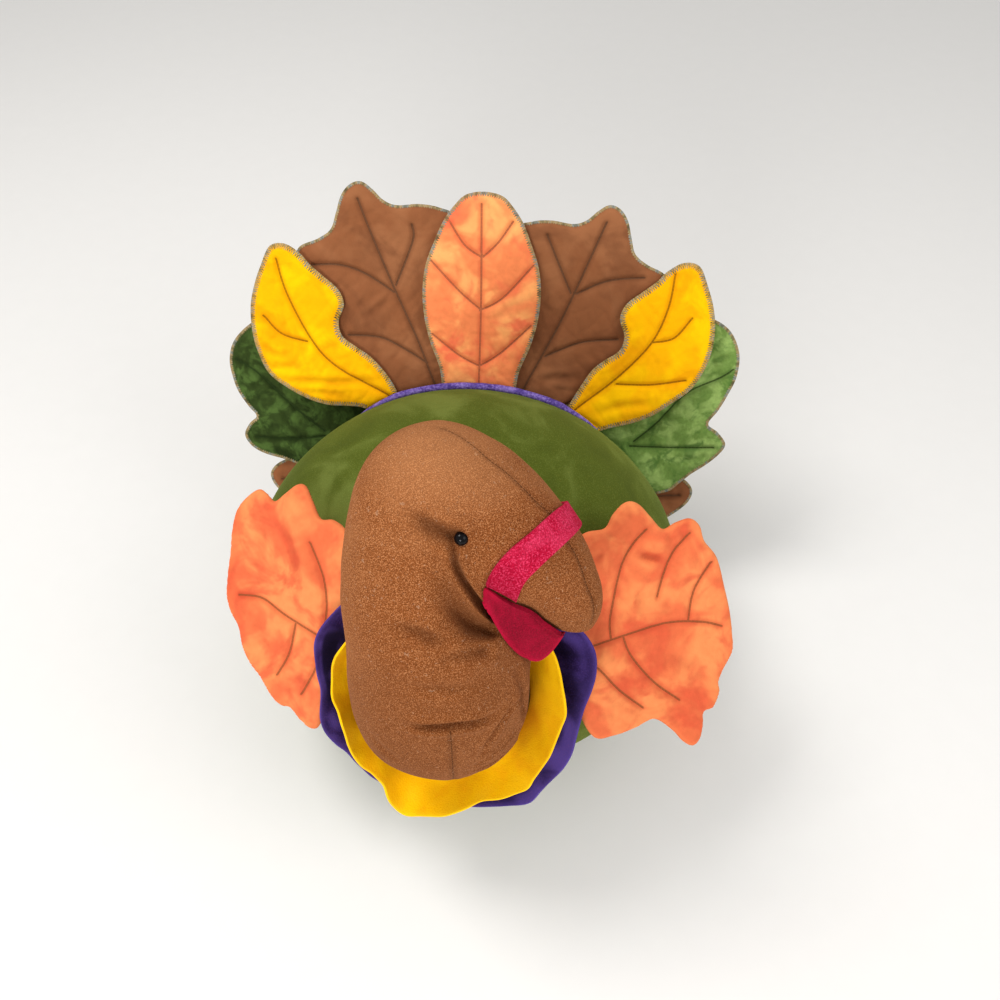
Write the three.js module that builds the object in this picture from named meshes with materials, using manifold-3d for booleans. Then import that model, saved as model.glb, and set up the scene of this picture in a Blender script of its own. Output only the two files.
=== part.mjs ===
// Stuffed turkey centrepiece: velour body, fleece neck and head, quilted leaf wings and leaf fan tail.
// Millimetres, +Z up, origin at the middle of the base, the turkey faces -Y.
import * as THREE from 'three';
import { mergeVertices } from 'three/addons/utils/BufferGeometryUtils.js';
import Module from 'manifold-3d';

const wasm = await Module();
wasm.setup();

// Fits shared by every piece
const clearance = 0.3;
const overrun = 12;
const weld = 1e-4;

// Body, a round cushion that is oval in plan
const bodyWidth = 266;
const bodyDepth = 250;
const crownRise = 107;
const widestHeight = 85;
const bellyDrop = 93;
const velour = 2;
const baseCloth = 2;
const baseWidth = 96;
const bodySides = 40;
const crownRings = 7;
const bellyRings = 6;

// Pellet pouch in the bottom of the body
const pouchWidth = 90;
const pouchHeight = 30;

// Fan tail, a plane that leans back through the body's rear
const fanHeight = 133;
const fanRootBehind = 98;
const fanRootHeight = 140;
const fanLean = THREE.MathUtils.degToRad(27);
const padThickness = 5;
const padEdge = 1.6;
const padRoll = 3.2;
const leafSpacing = padThickness + 0.8;
const veinGroove = 1.5;
const weltThickness = 6;
const weltReach = THREE.MathUtils.degToRad(66);

// Wings, one quilted leaf on each flank
const wingSpan = 150;
const wingRootSide = 77;
const wingRootHeight = 137;
const wingTurn = THREE.MathUtils.degToRad(29.7);
const wingTilt = THREE.MathUtils.degToRad(36.7);
const wingStandOff = 3.4;

// Neck and head, sewn from fleece
const neckWidth = 90;
const neckRootHeight = 132.5;
const neckRootTilt = THREE.MathUtils.degToRad(30);
const socketClearance = 0.9;
const headLength = 100;
const headWidth = 86;
const throatSide = 39.2;
const throatForward = 97.6;
const throatHeight = 205.4;
const fleece = 2;
const neckSides = 24;
const headRings = 24;

// Trim on the head
const eyeDiameter = 6.4;
const eyeTurn = 107;
const eyeRound = THREE.MathUtils.degToRad(70);
const threadDiameter = 1.2;
const stripThickness = 2.2;
const wattleLength = 50;
const wattleTurn = 97;
const wattleRound = THREE.MathUtils.degToRad(103);
const wattleClearance = 1;

// Collars round the neck's root
const collarRoot = 47.5;
const collarThickness = 2.2;
const yellowReach = 69;
const yellowRise = 14;
const yellowWave = 2.5;
const purpleReach = 80;
const purpleRise = 4;
const purpleWave = 1.5;
const collarWaves = 8;
const collarSteps = 60;

// A closed triangle mesh from geometry, facing out
function solid(geometry) {
  const plain = geometry.clone();
  plain.deleteAttribute('normal');
  plain.deleteAttribute('uv');
  const merged = mergeVertices(plain, weld);
  const index = merged.index.array;
  const triangles = [];
  for (let i = 0; i < index.length; i += 3) {
    const [a, b, c] = [index[i], index[i + 1], index[i + 2]];
    if (a !== b && b !== c && c !== a) triangles.push(a, b, c);
  }
  const vertProperties = new Float32Array(merged.attributes.position.array);
  if (signedVolume(vertProperties, triangles) < 0) triangles.reverse();
  const triVerts = new Uint32Array(triangles);
  return new wasm.Manifold(new wasm.Mesh({ numProp: 3, vertProperties, triVerts }));
}

// Six times the volume that the triangles close, negative when they face in
function signedVolume(positions, triangles) {
  const corner = (i) => new THREE.Vector3().fromArray(positions, 3 * i);
  let total = 0;
  for (let i = 0; i < triangles.length; i += 3) {
    const [a, b, c] = [corner(triangles[i]), corner(triangles[i + 1]), corner(triangles[i + 2])];
    total += a.dot(b.cross(c));
  }
  return total;
}

function geometryOf(manifold) {
  const mesh = manifold.getMesh();
  const geometry = new THREE.BufferGeometry();
  geometry.setAttribute('position', new THREE.BufferAttribute(mesh.vertProperties, 3));
  geometry.setIndex(new THREE.BufferAttribute(mesh.triVerts, 1));
  geometry.computeVertexNormals();
  return geometry;
}

// A skin through rings of points, closed at both ends or back on its first ring
function loft(rings, ringShaped = false) {
  const sides = rings[0].length;
  const positions = rings.flat().flatMap((p) => [p.x, p.y, p.z]);
  const index = [];
  const joins = ringShaped ? rings.length : rings.length - 1;
  for (let k = 0; k < joins; k++) {
    const low = k * sides;
    const high = ((k + 1) % rings.length) * sides;
    for (let i = 0; i < sides; i++) {
      const j = (i + 1) % sides;
      index.push(low + i, low + j, high + j, low + i, high + j, high + i);
    }
  }
  if (!ringShaped) {
    closeEnd(rings[0], 0, positions, index, true);
    closeEnd(rings.at(-1), (rings.length - 1) * sides, positions, index, false);
  }
  const geometry = new THREE.BufferGeometry();
  geometry.setAttribute('position', new THREE.Float32BufferAttribute(positions, 3));
  geometry.setIndex(index);
  return geometry;
}

function closeEnd(ring, first, positions, index, turned) {
  const middle = ring.reduce((sum, p) => sum.add(p), new THREE.Vector3()).divideScalar(ring.length);
  const pole = positions.length / 3;
  positions.push(middle.x, middle.y, middle.z);
  for (let i = 0; i < ring.length; i++) {
    const j = (i + 1) % ring.length;
    if (turned) index.push(pole, first + j, first + i);
    else index.push(pole, first + i, first + j);
  }
}

const group = new THREE.Group();

const colours = {
  olive: new THREE.MeshStandardMaterial({ color: 0x5f6b2c, roughness: 0.85, metalness: 0 }),
  brown: new THREE.MeshStandardMaterial({ color: 0x946443, roughness: 0.9, metalness: 0 }),
  leafBrown: new THREE.MeshStandardMaterial({ color: 0x8f5a3c, roughness: 0.9, metalness: 0 }),
  orange: new THREE.MeshStandardMaterial({ color: 0xf5935a, roughness: 0.9, metalness: 0 }),
  yellow: new THREE.MeshStandardMaterial({ color: 0xffb800, roughness: 0.9, metalness: 0 }),
  green: new THREE.MeshStandardMaterial({ color: 0x5b8238, roughness: 0.9, metalness: 0 }),
  purple: new THREE.MeshStandardMaterial({ color: 0x4a3580, roughness: 0.8, metalness: 0 }),
  red: new THREE.MeshStandardMaterial({ color: 0xc0154a, roughness: 0.9, metalness: 0 }),
  black: new THREE.MeshStandardMaterial({ color: 0x0a0a0c, roughness: 0.1, metalness: 0 }),
  fill: new THREE.MeshStandardMaterial({ color: 0xf2f0ea, roughness: 1, metalness: 0 }),
};

function addPiece(name, manifold, material, parent = group) {
  const mesh = new THREE.Mesh(geometryOf(manifold), material);
  mesh.name = name;
  parent.add(mesh);
}

// Body: a turned profile, oval in plan, cut flat at the floor
function bodyForm(grow, floor) {
  const reach = bodyWidth + bodyDepth;
  const above = new THREE.BoxGeometry(reach, reach, reach).translate(0, 0, floor + reach / 2);
  return solid(bodyShape(grow)).intersect(solid(above));
}

function bodyShape(grow) {
  const half = bodyWidth / 2 + grow;
  const rise = crownRise + grow;
  const drop = bellyDrop + grow;
  const profile = [new THREE.Vector2(0, widestHeight - drop)];
  for (let i = 1; i <= bellyRings; i++) {
    const angle = (-Math.PI / 2) * (1 - i / bellyRings);
    profile.push(new THREE.Vector2(half * Math.cos(angle), widestHeight + drop * Math.sin(angle)));
  }
  for (let i = 1; i < crownRings; i++) {
    const angle = (Math.PI / 2) * (i / crownRings);
    profile.push(new THREE.Vector2(half * Math.cos(angle), widestHeight + rise * Math.sin(angle)));
  }
  profile.push(new THREE.Vector2(0, widestHeight + rise));
  const geometry = new THREE.LatheGeometry(profile, bodySides);
  geometry.rotateX(Math.PI / 2);
  geometry.scale(1, (bodyDepth / 2 + grow) / half, 1);
  return geometry;
}

// How far a point lies outside the body along a direction, measured to the body's surface
function dropToBody(point, direction) {
  const rise = point.z > widestHeight ? crownRise : bellyDrop;
  const radii = new THREE.Vector3(bodyWidth / 2, bodyDepth / 2, rise);
  const from = point.clone().sub(new THREE.Vector3(0, 0, widestHeight)).divide(radii);
  const along = direction.clone().divide(radii);
  const a = along.dot(along);
  const b = from.dot(along);
  const c = from.dot(from) - 1;
  return (-b - Math.sqrt(Math.max(0, b * b - a * c))) / a;
}

// The body's front surface at a side and a height
function bodyFront(side, height) {
  const rise = height > widestHeight ? crownRise : bellyDrop;
  const level = 1 - (side / (bodyWidth / 2)) ** 2 - ((height - widestHeight) / rise) ** 2;
  return new THREE.Vector3(side, (-bodyDepth / 2) * Math.sqrt(level), height);
}

function frame(origin, across, up) {
  const out = new THREE.Vector3().crossVectors(across, up);
  const matrix = new THREE.Matrix4().makeBasis(across, up, out).setPosition(origin);
  const holder = new THREE.Group();
  matrix.decompose(holder.position, holder.quaternion, holder.scale);
  holder.updateMatrix();
  return holder;
}

// The same solid as seen from inside a placed group
function seenFrom(holder, manifold) {
  return solid(geometryOf(manifold).applyMatrix4(holder.matrix.clone().invert()));
}

const clearOfBody = solid(bodyShape(clearance));

// Fan tail frame: x across, y up the fan, z towards the front
const fanUp = new THREE.Vector3(0, Math.sin(fanLean), Math.cos(fanLean));
const fanOrigin = new THREE.Vector3(0, fanRootBehind, fanRootHeight);
const fan = frame(fanOrigin, new THREE.Vector3(1, 0, 0), fanUp);

// Neck root frame: x across, y down the chest, z away from the chest
const neckRoot = bodyFront(0, neckRootHeight);
const chestOut = new THREE.Vector3(0, -Math.cos(neckRootTilt), Math.sin(neckRootTilt));
const chestDown = new THREE.Vector3(0, -Math.sin(neckRootTilt), -Math.cos(neckRootTilt));

function makeBody() {
  const socketCut = socketForm();
  const opening = baseForm(clearance, -overrun, baseCloth + clearance);
  const skin = bodyForm(0, 0).subtract(bodyForm(-velour, -overrun)).subtract(socketCut).subtract(opening);
  const reach = bodyWidth + bodyDepth;
  for (const [name, side] of [['body_cover_front', 1], ['body_cover_back', -1]]) {
    const half = new THREE.BoxGeometry(reach, reach, reach);
    half.translate(0, 0, side * (reach / 2 + clearance / 2));
    addPiece(name, skin.intersect(solid(half.applyMatrix4(fan.matrix))), colours.olive);
  }
  addPiece('base_panel', baseForm(0, 0, baseCloth), colours.olive);
  const seat = baseCloth + clearance;
  const pouch = solid(pouchForm(0, seat));
  const pocket = solid(pouchForm(clearance, seat - overrun));
  const filling = bodyForm(-velour - clearance, seat);
  addPiece('weight_pouch', pouch, colours.fill);
  addPiece('body_stuffing', filling.subtract(socketCut).subtract(pocket), colours.fill);
}

// Socket: the round dimple in the chest that the neck's ball end turns in
function socketForm() {
  const socket = new THREE.SphereGeometry(neckWidth / 2 + socketClearance, neckSides, neckSides / 2);
  socket.rotateX(Math.PI - neckRootTilt);
  return solid(socket.translate(neckRoot.x, neckRoot.y, neckRoot.z));
}

// Base panel: an oval disc inside the edge of the cover
function baseForm(grow, floor, top) {
  const radius = (baseWidth / 2) + grow;
  const disc = new THREE.CylinderGeometry(radius, radius, top - floor, bodySides);
  disc.rotateX(Math.PI / 2).scale(1, bodyDepth / bodyWidth, 1);
  return solid(disc.translate(0, 0, (top + floor) / 2));
}

// Pouch: flat underneath with a domed top
function pouchForm(grow, floor) {
  const top = baseCloth + clearance + pouchHeight + grow;
  const half = pouchWidth / 2 + grow;
  const shoulder = baseCloth + pouchHeight / 2;
  const profile = [new THREE.Vector2(0, floor), new THREE.Vector2(half * 0.9, floor)];
  for (let i = 0; i < 4; i++) {
    const angle = (Math.PI / 2) * (i / 4);
    const z = shoulder + (top - shoulder) * Math.sin(angle);
    profile.push(new THREE.Vector2(half * Math.cos(angle), z));
  }
  profile.push(new THREE.Vector2(0, top));
  return new THREE.LatheGeometry(profile, 20).rotateX(Math.PI / 2);
}

// Leaf outlines and veins, in shares of the fan's height, for a leaf on the +X side
const orangeShares = [
  [-0.13, -0.05], [0.13, -0.05], [0.19, 0.18], [0.235, 0.3], [0.265, 0.42], [0.275, 0.55],
  [0.26, 0.67], [0.22, 0.78], [0.18, 0.87], [0.13, 0.94], [0.08, 0.985], [0, 1],
  [-0.08, 0.985], [-0.13, 0.94], [-0.18, 0.87], [-0.22, 0.78], [-0.26, 0.67], [-0.275, 0.55],
  [-0.265, 0.42], [-0.235, 0.3], [-0.19, 0.18],
];
const orangeVeinShares = [
  [[0, 0.08], [0, 0.5], [-0.01, 0.94]],
  [[0, 0.71], [0.07, 0.78], [0.13, 0.87]],
  [[0, 0.71], [-0.08, 0.76], [-0.15, 0.86]],
  [[0, 0.47], [0.1, 0.53], [0.23, 0.68]],
  [[0, 0.47], [-0.1, 0.55], [-0.23, 0.68]],
  [[0, 0.2], [0.1, 0.27], [0.23, 0.4]],
  [[0, 0.2], [-0.1, 0.25], [-0.22, 0.34]],
];
const brownShares = [
  [0.16, 0], [0.1, 0.22], [0.07, 0.45], [0.09, 0.7], [0.13, 0.86], [0.21, 0.9], [0.3, 0.91],
  [0.4, 0.9], [0.46, 0.92], [0.51, 0.965], [0.56, 0.995], [0.61, 0.98], [0.65, 0.93],
  [0.675, 0.85], [0.7, 0.78], [0.76, 0.735], [0.85, 0.69], [0.84, 0.6], [0.77, 0.45],
  [0.66, 0.3], [0.55, 0.15], [0.45, 0.02],
];
const brownVeinShares = [
  [[0.25, 0.04], [0.345, 0.3], [0.42, 0.51], [0.5, 0.73], [0.565, 0.92]],
  [[0.43, 0.55], [0.36, 0.69], [0.29, 0.84]],
  [[0.44, 0.56], [0.54, 0.6], [0.66, 0.615], [0.77, 0.62]],
  [[0.335, 0.28], [0.46, 0.31], [0.62, 0.33]],
];
const yellowShares = [
  [0.42, 0.045], [0.45, 0.12], [0.5, 0.2], [0.59, 0.26], [0.655, 0.31], [0.672, 0.38],
  [0.645, 0.46], [0.67, 0.53], [0.74, 0.59], [0.8, 0.64], [0.84, 0.685], [0.9, 0.725],
  [0.955, 0.73], [0.995, 0.705], [1.03, 0.63], [1.065, 0.54], [1.085, 0.435], [1.08, 0.32],
  [1.05, 0.22], [1, 0.135], [0.925, 0.07], [0.835, 0], [0.735, -0.045], [0.63, -0.055], [0.52, -0.03],
];
const yellowVeinShares = [
  [[0.47, 0.02], [0.6, 0.1], [0.72, 0.2], [0.82, 0.32], [0.89, 0.48], [0.93, 0.67]],
  [[0.82, 0.31], [0.91, 0.34], [1.02, 0.43]],
  [[0.64, 0.12], [0.78, 0.11], [0.95, 0.125]],
];
const greenShares = [
  [0.6, -0.04], [0.72, 0.18], [0.92, 0.37], [1.03, 0.42], [1.12, 0.39], [1.19, 0.33], [1.24, 0.24],
  [1.245, 0.13], [1.22, 0.03], [1.17, -0.06], [1.135, -0.115], [1.18, -0.16], [1.21, -0.215],
  [1.18, -0.27], [1.12, -0.325], [1.03, -0.37], [0.9, -0.4], [0.7, -0.36],
];
const greenVeinShares = [
  [[0.78, -0.17], [0.94, -0.03], [1.09, 0.13], [1.19, 0.2]],
  [[0.78, -0.19], [0.94, -0.21], [1.13, -0.2]],
];
const lowerShares = [
  [0.72, -0.38], [0.9, -0.33], [1.03, -0.37], [1.095, -0.43], [1.085, -0.5], [1.02, -0.57],
  [0.93, -0.63], [0.82, -0.66], [0.72, -0.6],
];
const lowerVeinShares = [[[0.84, -0.5], [0.93, -0.48], [1.03, -0.47]]];

// Wing outlines and veins, in shares of the wing's span, from the root outwards
const leftWingShares = [
  [-0.12, 0.13], [-0.09, 0.3], [-0.01, 0.4], [0.075, 0.43], [0.15, 0.42], [0.19, 0.455],
  [0.235, 0.48], [0.27, 0.48], [0.3, 0.455], [0.33, 0.4], [0.365, 0.34], [0.42, 0.345],
  [0.48, 0.34], [0.51, 0.3], [0.515, 0.24], [0.55, 0.16], [0.555, 0.04], [0.555, -0.06],
  [0.545, -0.15], [0.53, -0.215], [0.475, -0.27], [0.445, -0.31], [0.44, -0.35], [0.4, -0.4],
  [0.36, -0.4], [0.345, -0.45], [0.32, -0.5], [0.285, -0.515], [0.25, -0.48], [0.22, -0.42],
  [0.16, -0.345], [0.085, -0.345], [-0.01, -0.34], [-0.09, -0.305], [-0.12, -0.13],
];
const leftWingVeinShares = [
  [[-0.08, 0.02], [0.12, 0], [0.33, -0.03], [0.52, -0.115]],
  [[0.08, 0.005], [0.11, 0.11], [0.16, 0.23], [0.29, 0.36]],
  [[0.27, -0.02], [0.3, 0.09], [0.34, 0.19], [0.46, 0.26]],
  [[0.39, -0.045], [0.44, 0.05], [0.52, 0.14]],
  [[0.12, 0], [0.16, -0.11], [0.29, -0.32]],
  [[-0.03, -0.02], [0.04, -0.18], [0.13, -0.29]],
];
const rightWingShares = [
  [-0.12, 0.13], [-0.12, 0.3], [-0.08, 0.39], [-0.03, 0.43], [0.03, 0.44], [0.08, 0.42],
  [0.13, 0.46], [0.18, 0.5], [0.215, 0.49], [0.25, 0.44], [0.285, 0.39], [0.325, 0.4],
  [0.365, 0.4], [0.41, 0.34], [0.43, 0.28], [0.425, 0.2], [0.405, 0.12], [0.39, 0.04],
  [0.365, -0.045], [0.325, -0.095], [0.275, -0.13], [0.235, -0.19], [0.18, -0.235],
  [0.12, -0.26], [0.055, -0.3], [0, -0.315], [-0.045, -0.3], [-0.1, -0.32], [-0.155, -0.325],
  [-0.18, -0.29], [-0.16, -0.18], [-0.13, -0.06],
];
const rightWingVeinShares = [
  [[-0.1, 0], [0.06, 0.005], [0.2, 0.01], [0.33, -0.03]],
  [[-0.06, 0.01], [-0.05, 0.12], [-0.01, 0.2], [0.11, 0.32]],
  [[0.06, 0.005], [0.045, -0.08], [0.06, -0.24]],
  [[-0.08, 0], [-0.08, -0.1], [-0.06, -0.24]],
];

function outline(shares, size, side) {
  const points = shares.map(([x, y]) => new THREE.Vector2(side * x * size, y * size));
  const curve = new THREE.SplineCurve([...points, points[0]]);
  return new THREE.Shape(curve.getPoints(shares.length));
}

// Quilted pad: a rolled edge round both faces, with a channel along each vein
function leafPad(shares, veinShares, size, side, level) {
  const roll = (padThickness - padEdge) / 2;
  const pad = new THREE.ExtrudeGeometry(outline(shares, size, side), {
    depth: padEdge,
    bevelThickness: roll,
    bevelSize: padRoll,
    bevelOffset: -padRoll,
    bevelSegments: 2,
    curveSegments: 1,
  });
  pad.translate(0, 0, level - padEdge / 2);
  let leaf = solid(pad);
  for (const vein of veinShares) {
    for (const face of [-1, 1]) {
      leaf = leaf.subtract(veinChannel(vein, size, side, level + (face * padThickness) / 2));
    }
  }
  return leaf;
}

function veinChannel(vein, size, side, level) {
  const points = vein.map(([x, y]) => new THREE.Vector3(side * x * size, y * size, level));
  const section = new THREE.Shape([
    new THREE.Vector2(veinGroove, 0),
    new THREE.Vector2(0, veinGroove),
    new THREE.Vector2(-veinGroove, 0),
    new THREE.Vector2(0, -veinGroove),
  ]);
  const path = new THREE.CatmullRomCurve3(points);
  return solid(new THREE.ExtrudeGeometry(section, { steps: points.length, extrudePath: path }));
}

// Tail leaves in four layers, the front layer first
// The two hands were sewn on by eye, so some are a little turned or larger
const leafKinds = {
  orange: { shares: orangeShares, veins: orangeVeinShares, colour: colours.orange, layer: 1.5 },
  yellow: { shares: yellowShares, veins: yellowVeinShares, colour: colours.yellow, layer: 1.5 },
  brown: { shares: brownShares, veins: brownVeinShares, colour: colours.leafBrown, layer: 0.5 },
  green: { shares: greenShares, veins: greenVeinShares, colour: colours.green, layer: -0.5 },
  lower: { shares: lowerShares, veins: lowerVeinShares, colour: colours.leafBrown, layer: -1.5 },
};
const tailLeaves = [
  { name: 'tail_leaf_orange', kind: 'orange', side: 1, turn: 0, sizeShare: 1 },
  { name: 'tail_leaf_yellow_left', kind: 'yellow', side: 1, turn: 0, sizeShare: 1 },
  { name: 'tail_leaf_yellow_right', kind: 'yellow', side: -1, turn: 0, sizeShare: 1 },
  { name: 'tail_leaf_brown_left', kind: 'brown', side: 1, turn: 0.3, sizeShare: 0.97 },
  { name: 'tail_leaf_brown_right', kind: 'brown', side: -1, turn: 1.6, sizeShare: 1.035 },
  { name: 'tail_leaf_green_left', kind: 'green', side: 1, turn: 4.5, sizeShare: 0.99 },
  { name: 'tail_leaf_green_right', kind: 'green', side: -1, turn: 0, sizeShare: 1 },
  { name: 'tail_leaf_lower_left', kind: 'lower', side: 1, turn: 0, sizeShare: 0.95 },
  { name: 'tail_leaf_lower_right', kind: 'lower', side: -1, turn: 0, sizeShare: 1 },
];

function makeTail() {
  const body = seenFrom(fan, clearOfBody);
  for (const { name, kind, side, turn, sizeShare } of tailLeaves) {
    const { shares, veins, colour, layer } = leafKinds[kind];
    const pad = leafPad(shares, veins, fanHeight * sizeShare, side, 0);
    const placed = geometryOf(pad).rotateZ(THREE.MathUtils.degToRad(turn));
    placed.translate(0, 0, layer * leafSpacing);
    addPiece(name, solid(placed).subtract(body), colour, fan);
  }
  const level = 1.5 * leafSpacing + padThickness / 2 + clearance + weltThickness / 2;
  addPiece('tail_welt', solid(weltForm(level)).subtract(body), colours.purple, fan);
  group.add(fan);
}

// Purple strip that covers the roots of the front leaves, laid on the body's surface
function weltForm(level) {
  const steps = 26;
  const centre = new THREE.Vector3(0, 0, widestHeight).applyMatrix4(fan.matrix.clone().invert());
  const points = [];
  for (let i = 0; i <= steps; i++) {
    const angle = weltReach * ((2 * i) / steps - 1);
    const heading = new THREE.Vector3(Math.sin(angle), Math.cos(angle), 0);
    const far = new THREE.Vector3(centre.x, centre.y, level).addScaledVector(heading, bodyWidth);
    const world = far.clone().applyMatrix4(fan.matrix);
    const inward = heading.clone().transformDirection(fan.matrix).negate();
    const gap = dropToBody(world, inward);
    points.push(far.addScaledVector(heading, -gap + weltThickness / 2 + clearance));
  }
  const section = new THREE.Shape().absellipse(0, 0, weltThickness / 2, weltThickness / 2, 0, 2 * Math.PI);
  const path = new THREE.CatmullRomCurve3(points);
  return new THREE.ExtrudeGeometry(section, { steps, curveSegments: 4, extrudePath: path });
}

// Wing frame: x to the turkey's left, y up the leaf, z away from the flank
function wingFrame(side) {
  const root = bodyFront(side * wingRootSide, wingRootHeight);
  const across = new THREE.Vector3(Math.cos(wingTurn), side * Math.sin(wingTurn), 0);
  const out = new THREE.Vector3(
    side * Math.sin(wingTurn) * Math.cos(wingTilt),
    -Math.cos(wingTurn) * Math.cos(wingTilt),
    Math.sin(wingTilt),
  );
  const up = new THREE.Vector3().crossVectors(out, across);
  return frame(root.addScaledVector(out, wingStandOff), across, up);
}

function makeWings() {
  const wings = [
    ['wing_left', 1, leftWingShares, leftWingVeinShares],
    ['wing_right', -1, rightWingShares, rightWingVeinShares],
  ];
  for (const [name, side, shares, veins] of wings) {
    const holder = wingFrame(side);
    const pad = leafPad(shares, veins, wingSpan, side, 0);
    addPiece(name, pad.subtract(seenFrom(holder, clearOfBody)), colours.orange, holder);
    group.add(holder);
  }
}

// Head frame: the throat is the fold that the head turns about, faceUp and faceOut span its profile
const throat = new THREE.Vector3(throatSide, -throatForward, throatHeight);
const cheekOut = new THREE.Vector3(-0.205, -0.954, 0.217).normalize();
const beakOut = new THREE.Vector3(0.978, -0.191, 0.084).normalize();
const faceUp = new THREE.Vector3().crossVectors(cheekOut, beakOut).normalize();

// The head's profile as turns about the throat, in degrees, with shares of its length and width
const headTurns = [180, 165, 150, 135, 120, 105, 90, 75, 60, 45, 30, 15, 0, -17];
const outerShares = [0.83, 0.85, 0.915, 1, 0.985, 0.85, 0.69, 0.57, 0.49, 0.44, 0.41, 0.4, 0.385, 0.33];
const innerShares = [0.01, 0.02, 0.03, 0.03, 0.03, 0.03, 0.03, 0.03, 0.03, 0.03, 0.03, 0.03, 0.03, 0.03];
const widthShares = [0.5, 0.5, 0.505, 0.5, 0.465, 0.41, 0.355, 0.305, 0.265, 0.235, 0.21, 0.19, 0.16, 0.116];
const forwardShares = [0.15, 0.11, 0.06, 0.02, 0, 0, 0, 0, 0, 0, 0, 0, 0, 0];

// Neck rings from the chest up: front and back points, in shares of the neck's width from its root
const neckRingShares = [
  [[-0.444, -0.228], [0.278, 0.483]],
  [[-0.544, 0.028], [0.322, 0.539]],
  [[-0.544, 0.306], [0.389, 0.578]],
  [[-0.489, 0.572], [0.478, 0.65]],
];

// The value at part t of the way from b to c, on a smooth curve through a, b, c and d
function smooth(a, b, c, d, t) {
  return b + (t * (c - a + t * (2 * a - 5 * b + 4 * c - d + t * (3 * b - 3 * c + d - a)))) / 2;
}

// A share read from its table at any turn, by a smooth curve through the table
function between(shares, turn) {
  const last = headTurns.length - 1;
  const k = Math.max(1, headTurns.findIndex((t, i) => i > 0 && (t <= turn || i === last)));
  const part = (headTurns[k - 1] - turn) / (headTurns[k - 1] - headTurns[k]);
  const [a, b, c, d] = [k - 2, k - 1, k, k + 1].map((i) => shares[Math.min(last, Math.max(0, i))]);
  return smooth(a, b, c, d, part);
}

// A point of the head's skin: turn about the throat, angle round the ring, and distance off the skin
function headPoint(turn, round, off) {
  const outer = between(outerShares, turn) * headLength;
  const inner = between(innerShares, turn) * headLength;
  const half = (outer - inner) / 2 + off;
  const wide = between(widthShares, turn) * headWidth + off;
  const heading = beakOut.clone().multiplyScalar(Math.cos(THREE.MathUtils.degToRad(turn)));
  heading.addScaledVector(faceUp, Math.sin(THREE.MathUtils.degToRad(turn)));
  const point = throat.clone().addScaledVector(cheekOut, between(forwardShares, turn) * headLength);
  point.addScaledVector(heading, (outer + inner) / 2 + half * Math.cos(round));
  return point.addScaledVector(cheekOut, wide * Math.sin(round));
}

function around(count, pointAt) {
  return Array.from({ length: count }, (_, i) => pointAt((2 * Math.PI * i) / count));
}

function neckRing([front, back], off) {
  const place = ([y, z]) => new THREE.Vector3(0, y * neckWidth, z * neckWidth).add(neckRoot);
  const middle = place(front).add(place(back)).divideScalar(2);
  const forward = place(front).sub(middle);
  forward.setLength(forward.length() + off);
  const half = neckWidth / 2 + off;
  return around(neckSides, (a) => middle.clone()
    .addScaledVector(forward, Math.sin(a))
    .add(new THREE.Vector3(-half * Math.cos(a), 0, 0)));
}

// A ring of the neck's round root, shifted along the line out of the chest
function rootRing(radius, shift) {
  return around(neckSides, (a) => neckRoot.clone()
    .addScaledVector(chestOut, shift)
    .addScaledVector(chestDown, radius * Math.sin(a))
    .add(new THREE.Vector3(-radius * Math.cos(a), 0, 0)));
}

function neckSkin(off, lowRings, lastTurn) {
  const rings = [...lowRings, rootRing(neckWidth / 2 + off, 0)];
  for (const ring of neckRingShares) rings.push(neckRing(ring, off));
  for (let i = 0; i <= headRings; i++) {
    const turn = THREE.MathUtils.lerp(headTurns[0], lastTurn, i / headRings);
    rings.push(around(neckSides, (a) => headPoint(turn, a, off)));
  }
  return solid(loft(rings));
}

// How far round the neck's lower ball its rings lie, from near the pole to the rim
const ballTurnShares = [5 / 6, 4 / 6, 3 / 6, 2 / 6, 1 / 6, 0];

function makeHead() {
  const lastTurn = headTurns.at(-1);
  const skinTurn = THREE.MathUtils.radToDeg(fleece / (headWidth * widthShares.at(-1) * 2));
  const lining = neckSkin(-fleece, [rootRing(neckWidth / 2 - fleece, -overrun)], lastTurn + skinTurn);
  const off = -fleece - clearance;
  const ball = neckWidth / 2;
  const rounding = ballTurnShares.map((share) => {
    const angle = (Math.PI / 2) * share;
    return rootRing(ball * Math.cos(angle), -ball * Math.sin(angle) - clearance);
  });
  rounding.push(rootRing(neckWidth / 2 + off, -clearance));
  const eyes = [1, -1].map((side) => headPoint(eyeTurn, side * eyeRound, 0));
  const dimples = eyes.map((eye) => solid(bead(eye, eyeDiameter / 2 + clearance)));
  const tunnel = threadForm(eyes, threadDiameter / 2 + clearance, 0);
  let cover = neckSkin(0, [], lastTurn).subtract(lining);
  let filling = neckSkin(off, rounding, lastTurn + 1.3 * skinTurn);
  for (const cut of [...dimples, tunnel]) {
    cover = cover.subtract(cut);
    filling = filling.subtract(cut);
  }
  addPiece('neck_cover', cover, colours.brown);
  addPiece('neck_stuffing', filling, colours.fill);
  addPiece('eye_right', solid(bead(eyes[0], eyeDiameter / 2)), colours.black);
  addPiece('eye_left', solid(bead(eyes[1], eyeDiameter / 2)), colours.black);
  addPiece('eye_thread', threadForm(eyes, threadDiameter / 2, eyeDiameter / 2 + clearance), colours.black);
}

function bead(centre, radius) {
  return new THREE.SphereGeometry(radius, 14, 9).translate(centre.x, centre.y, centre.z);
}

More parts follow.
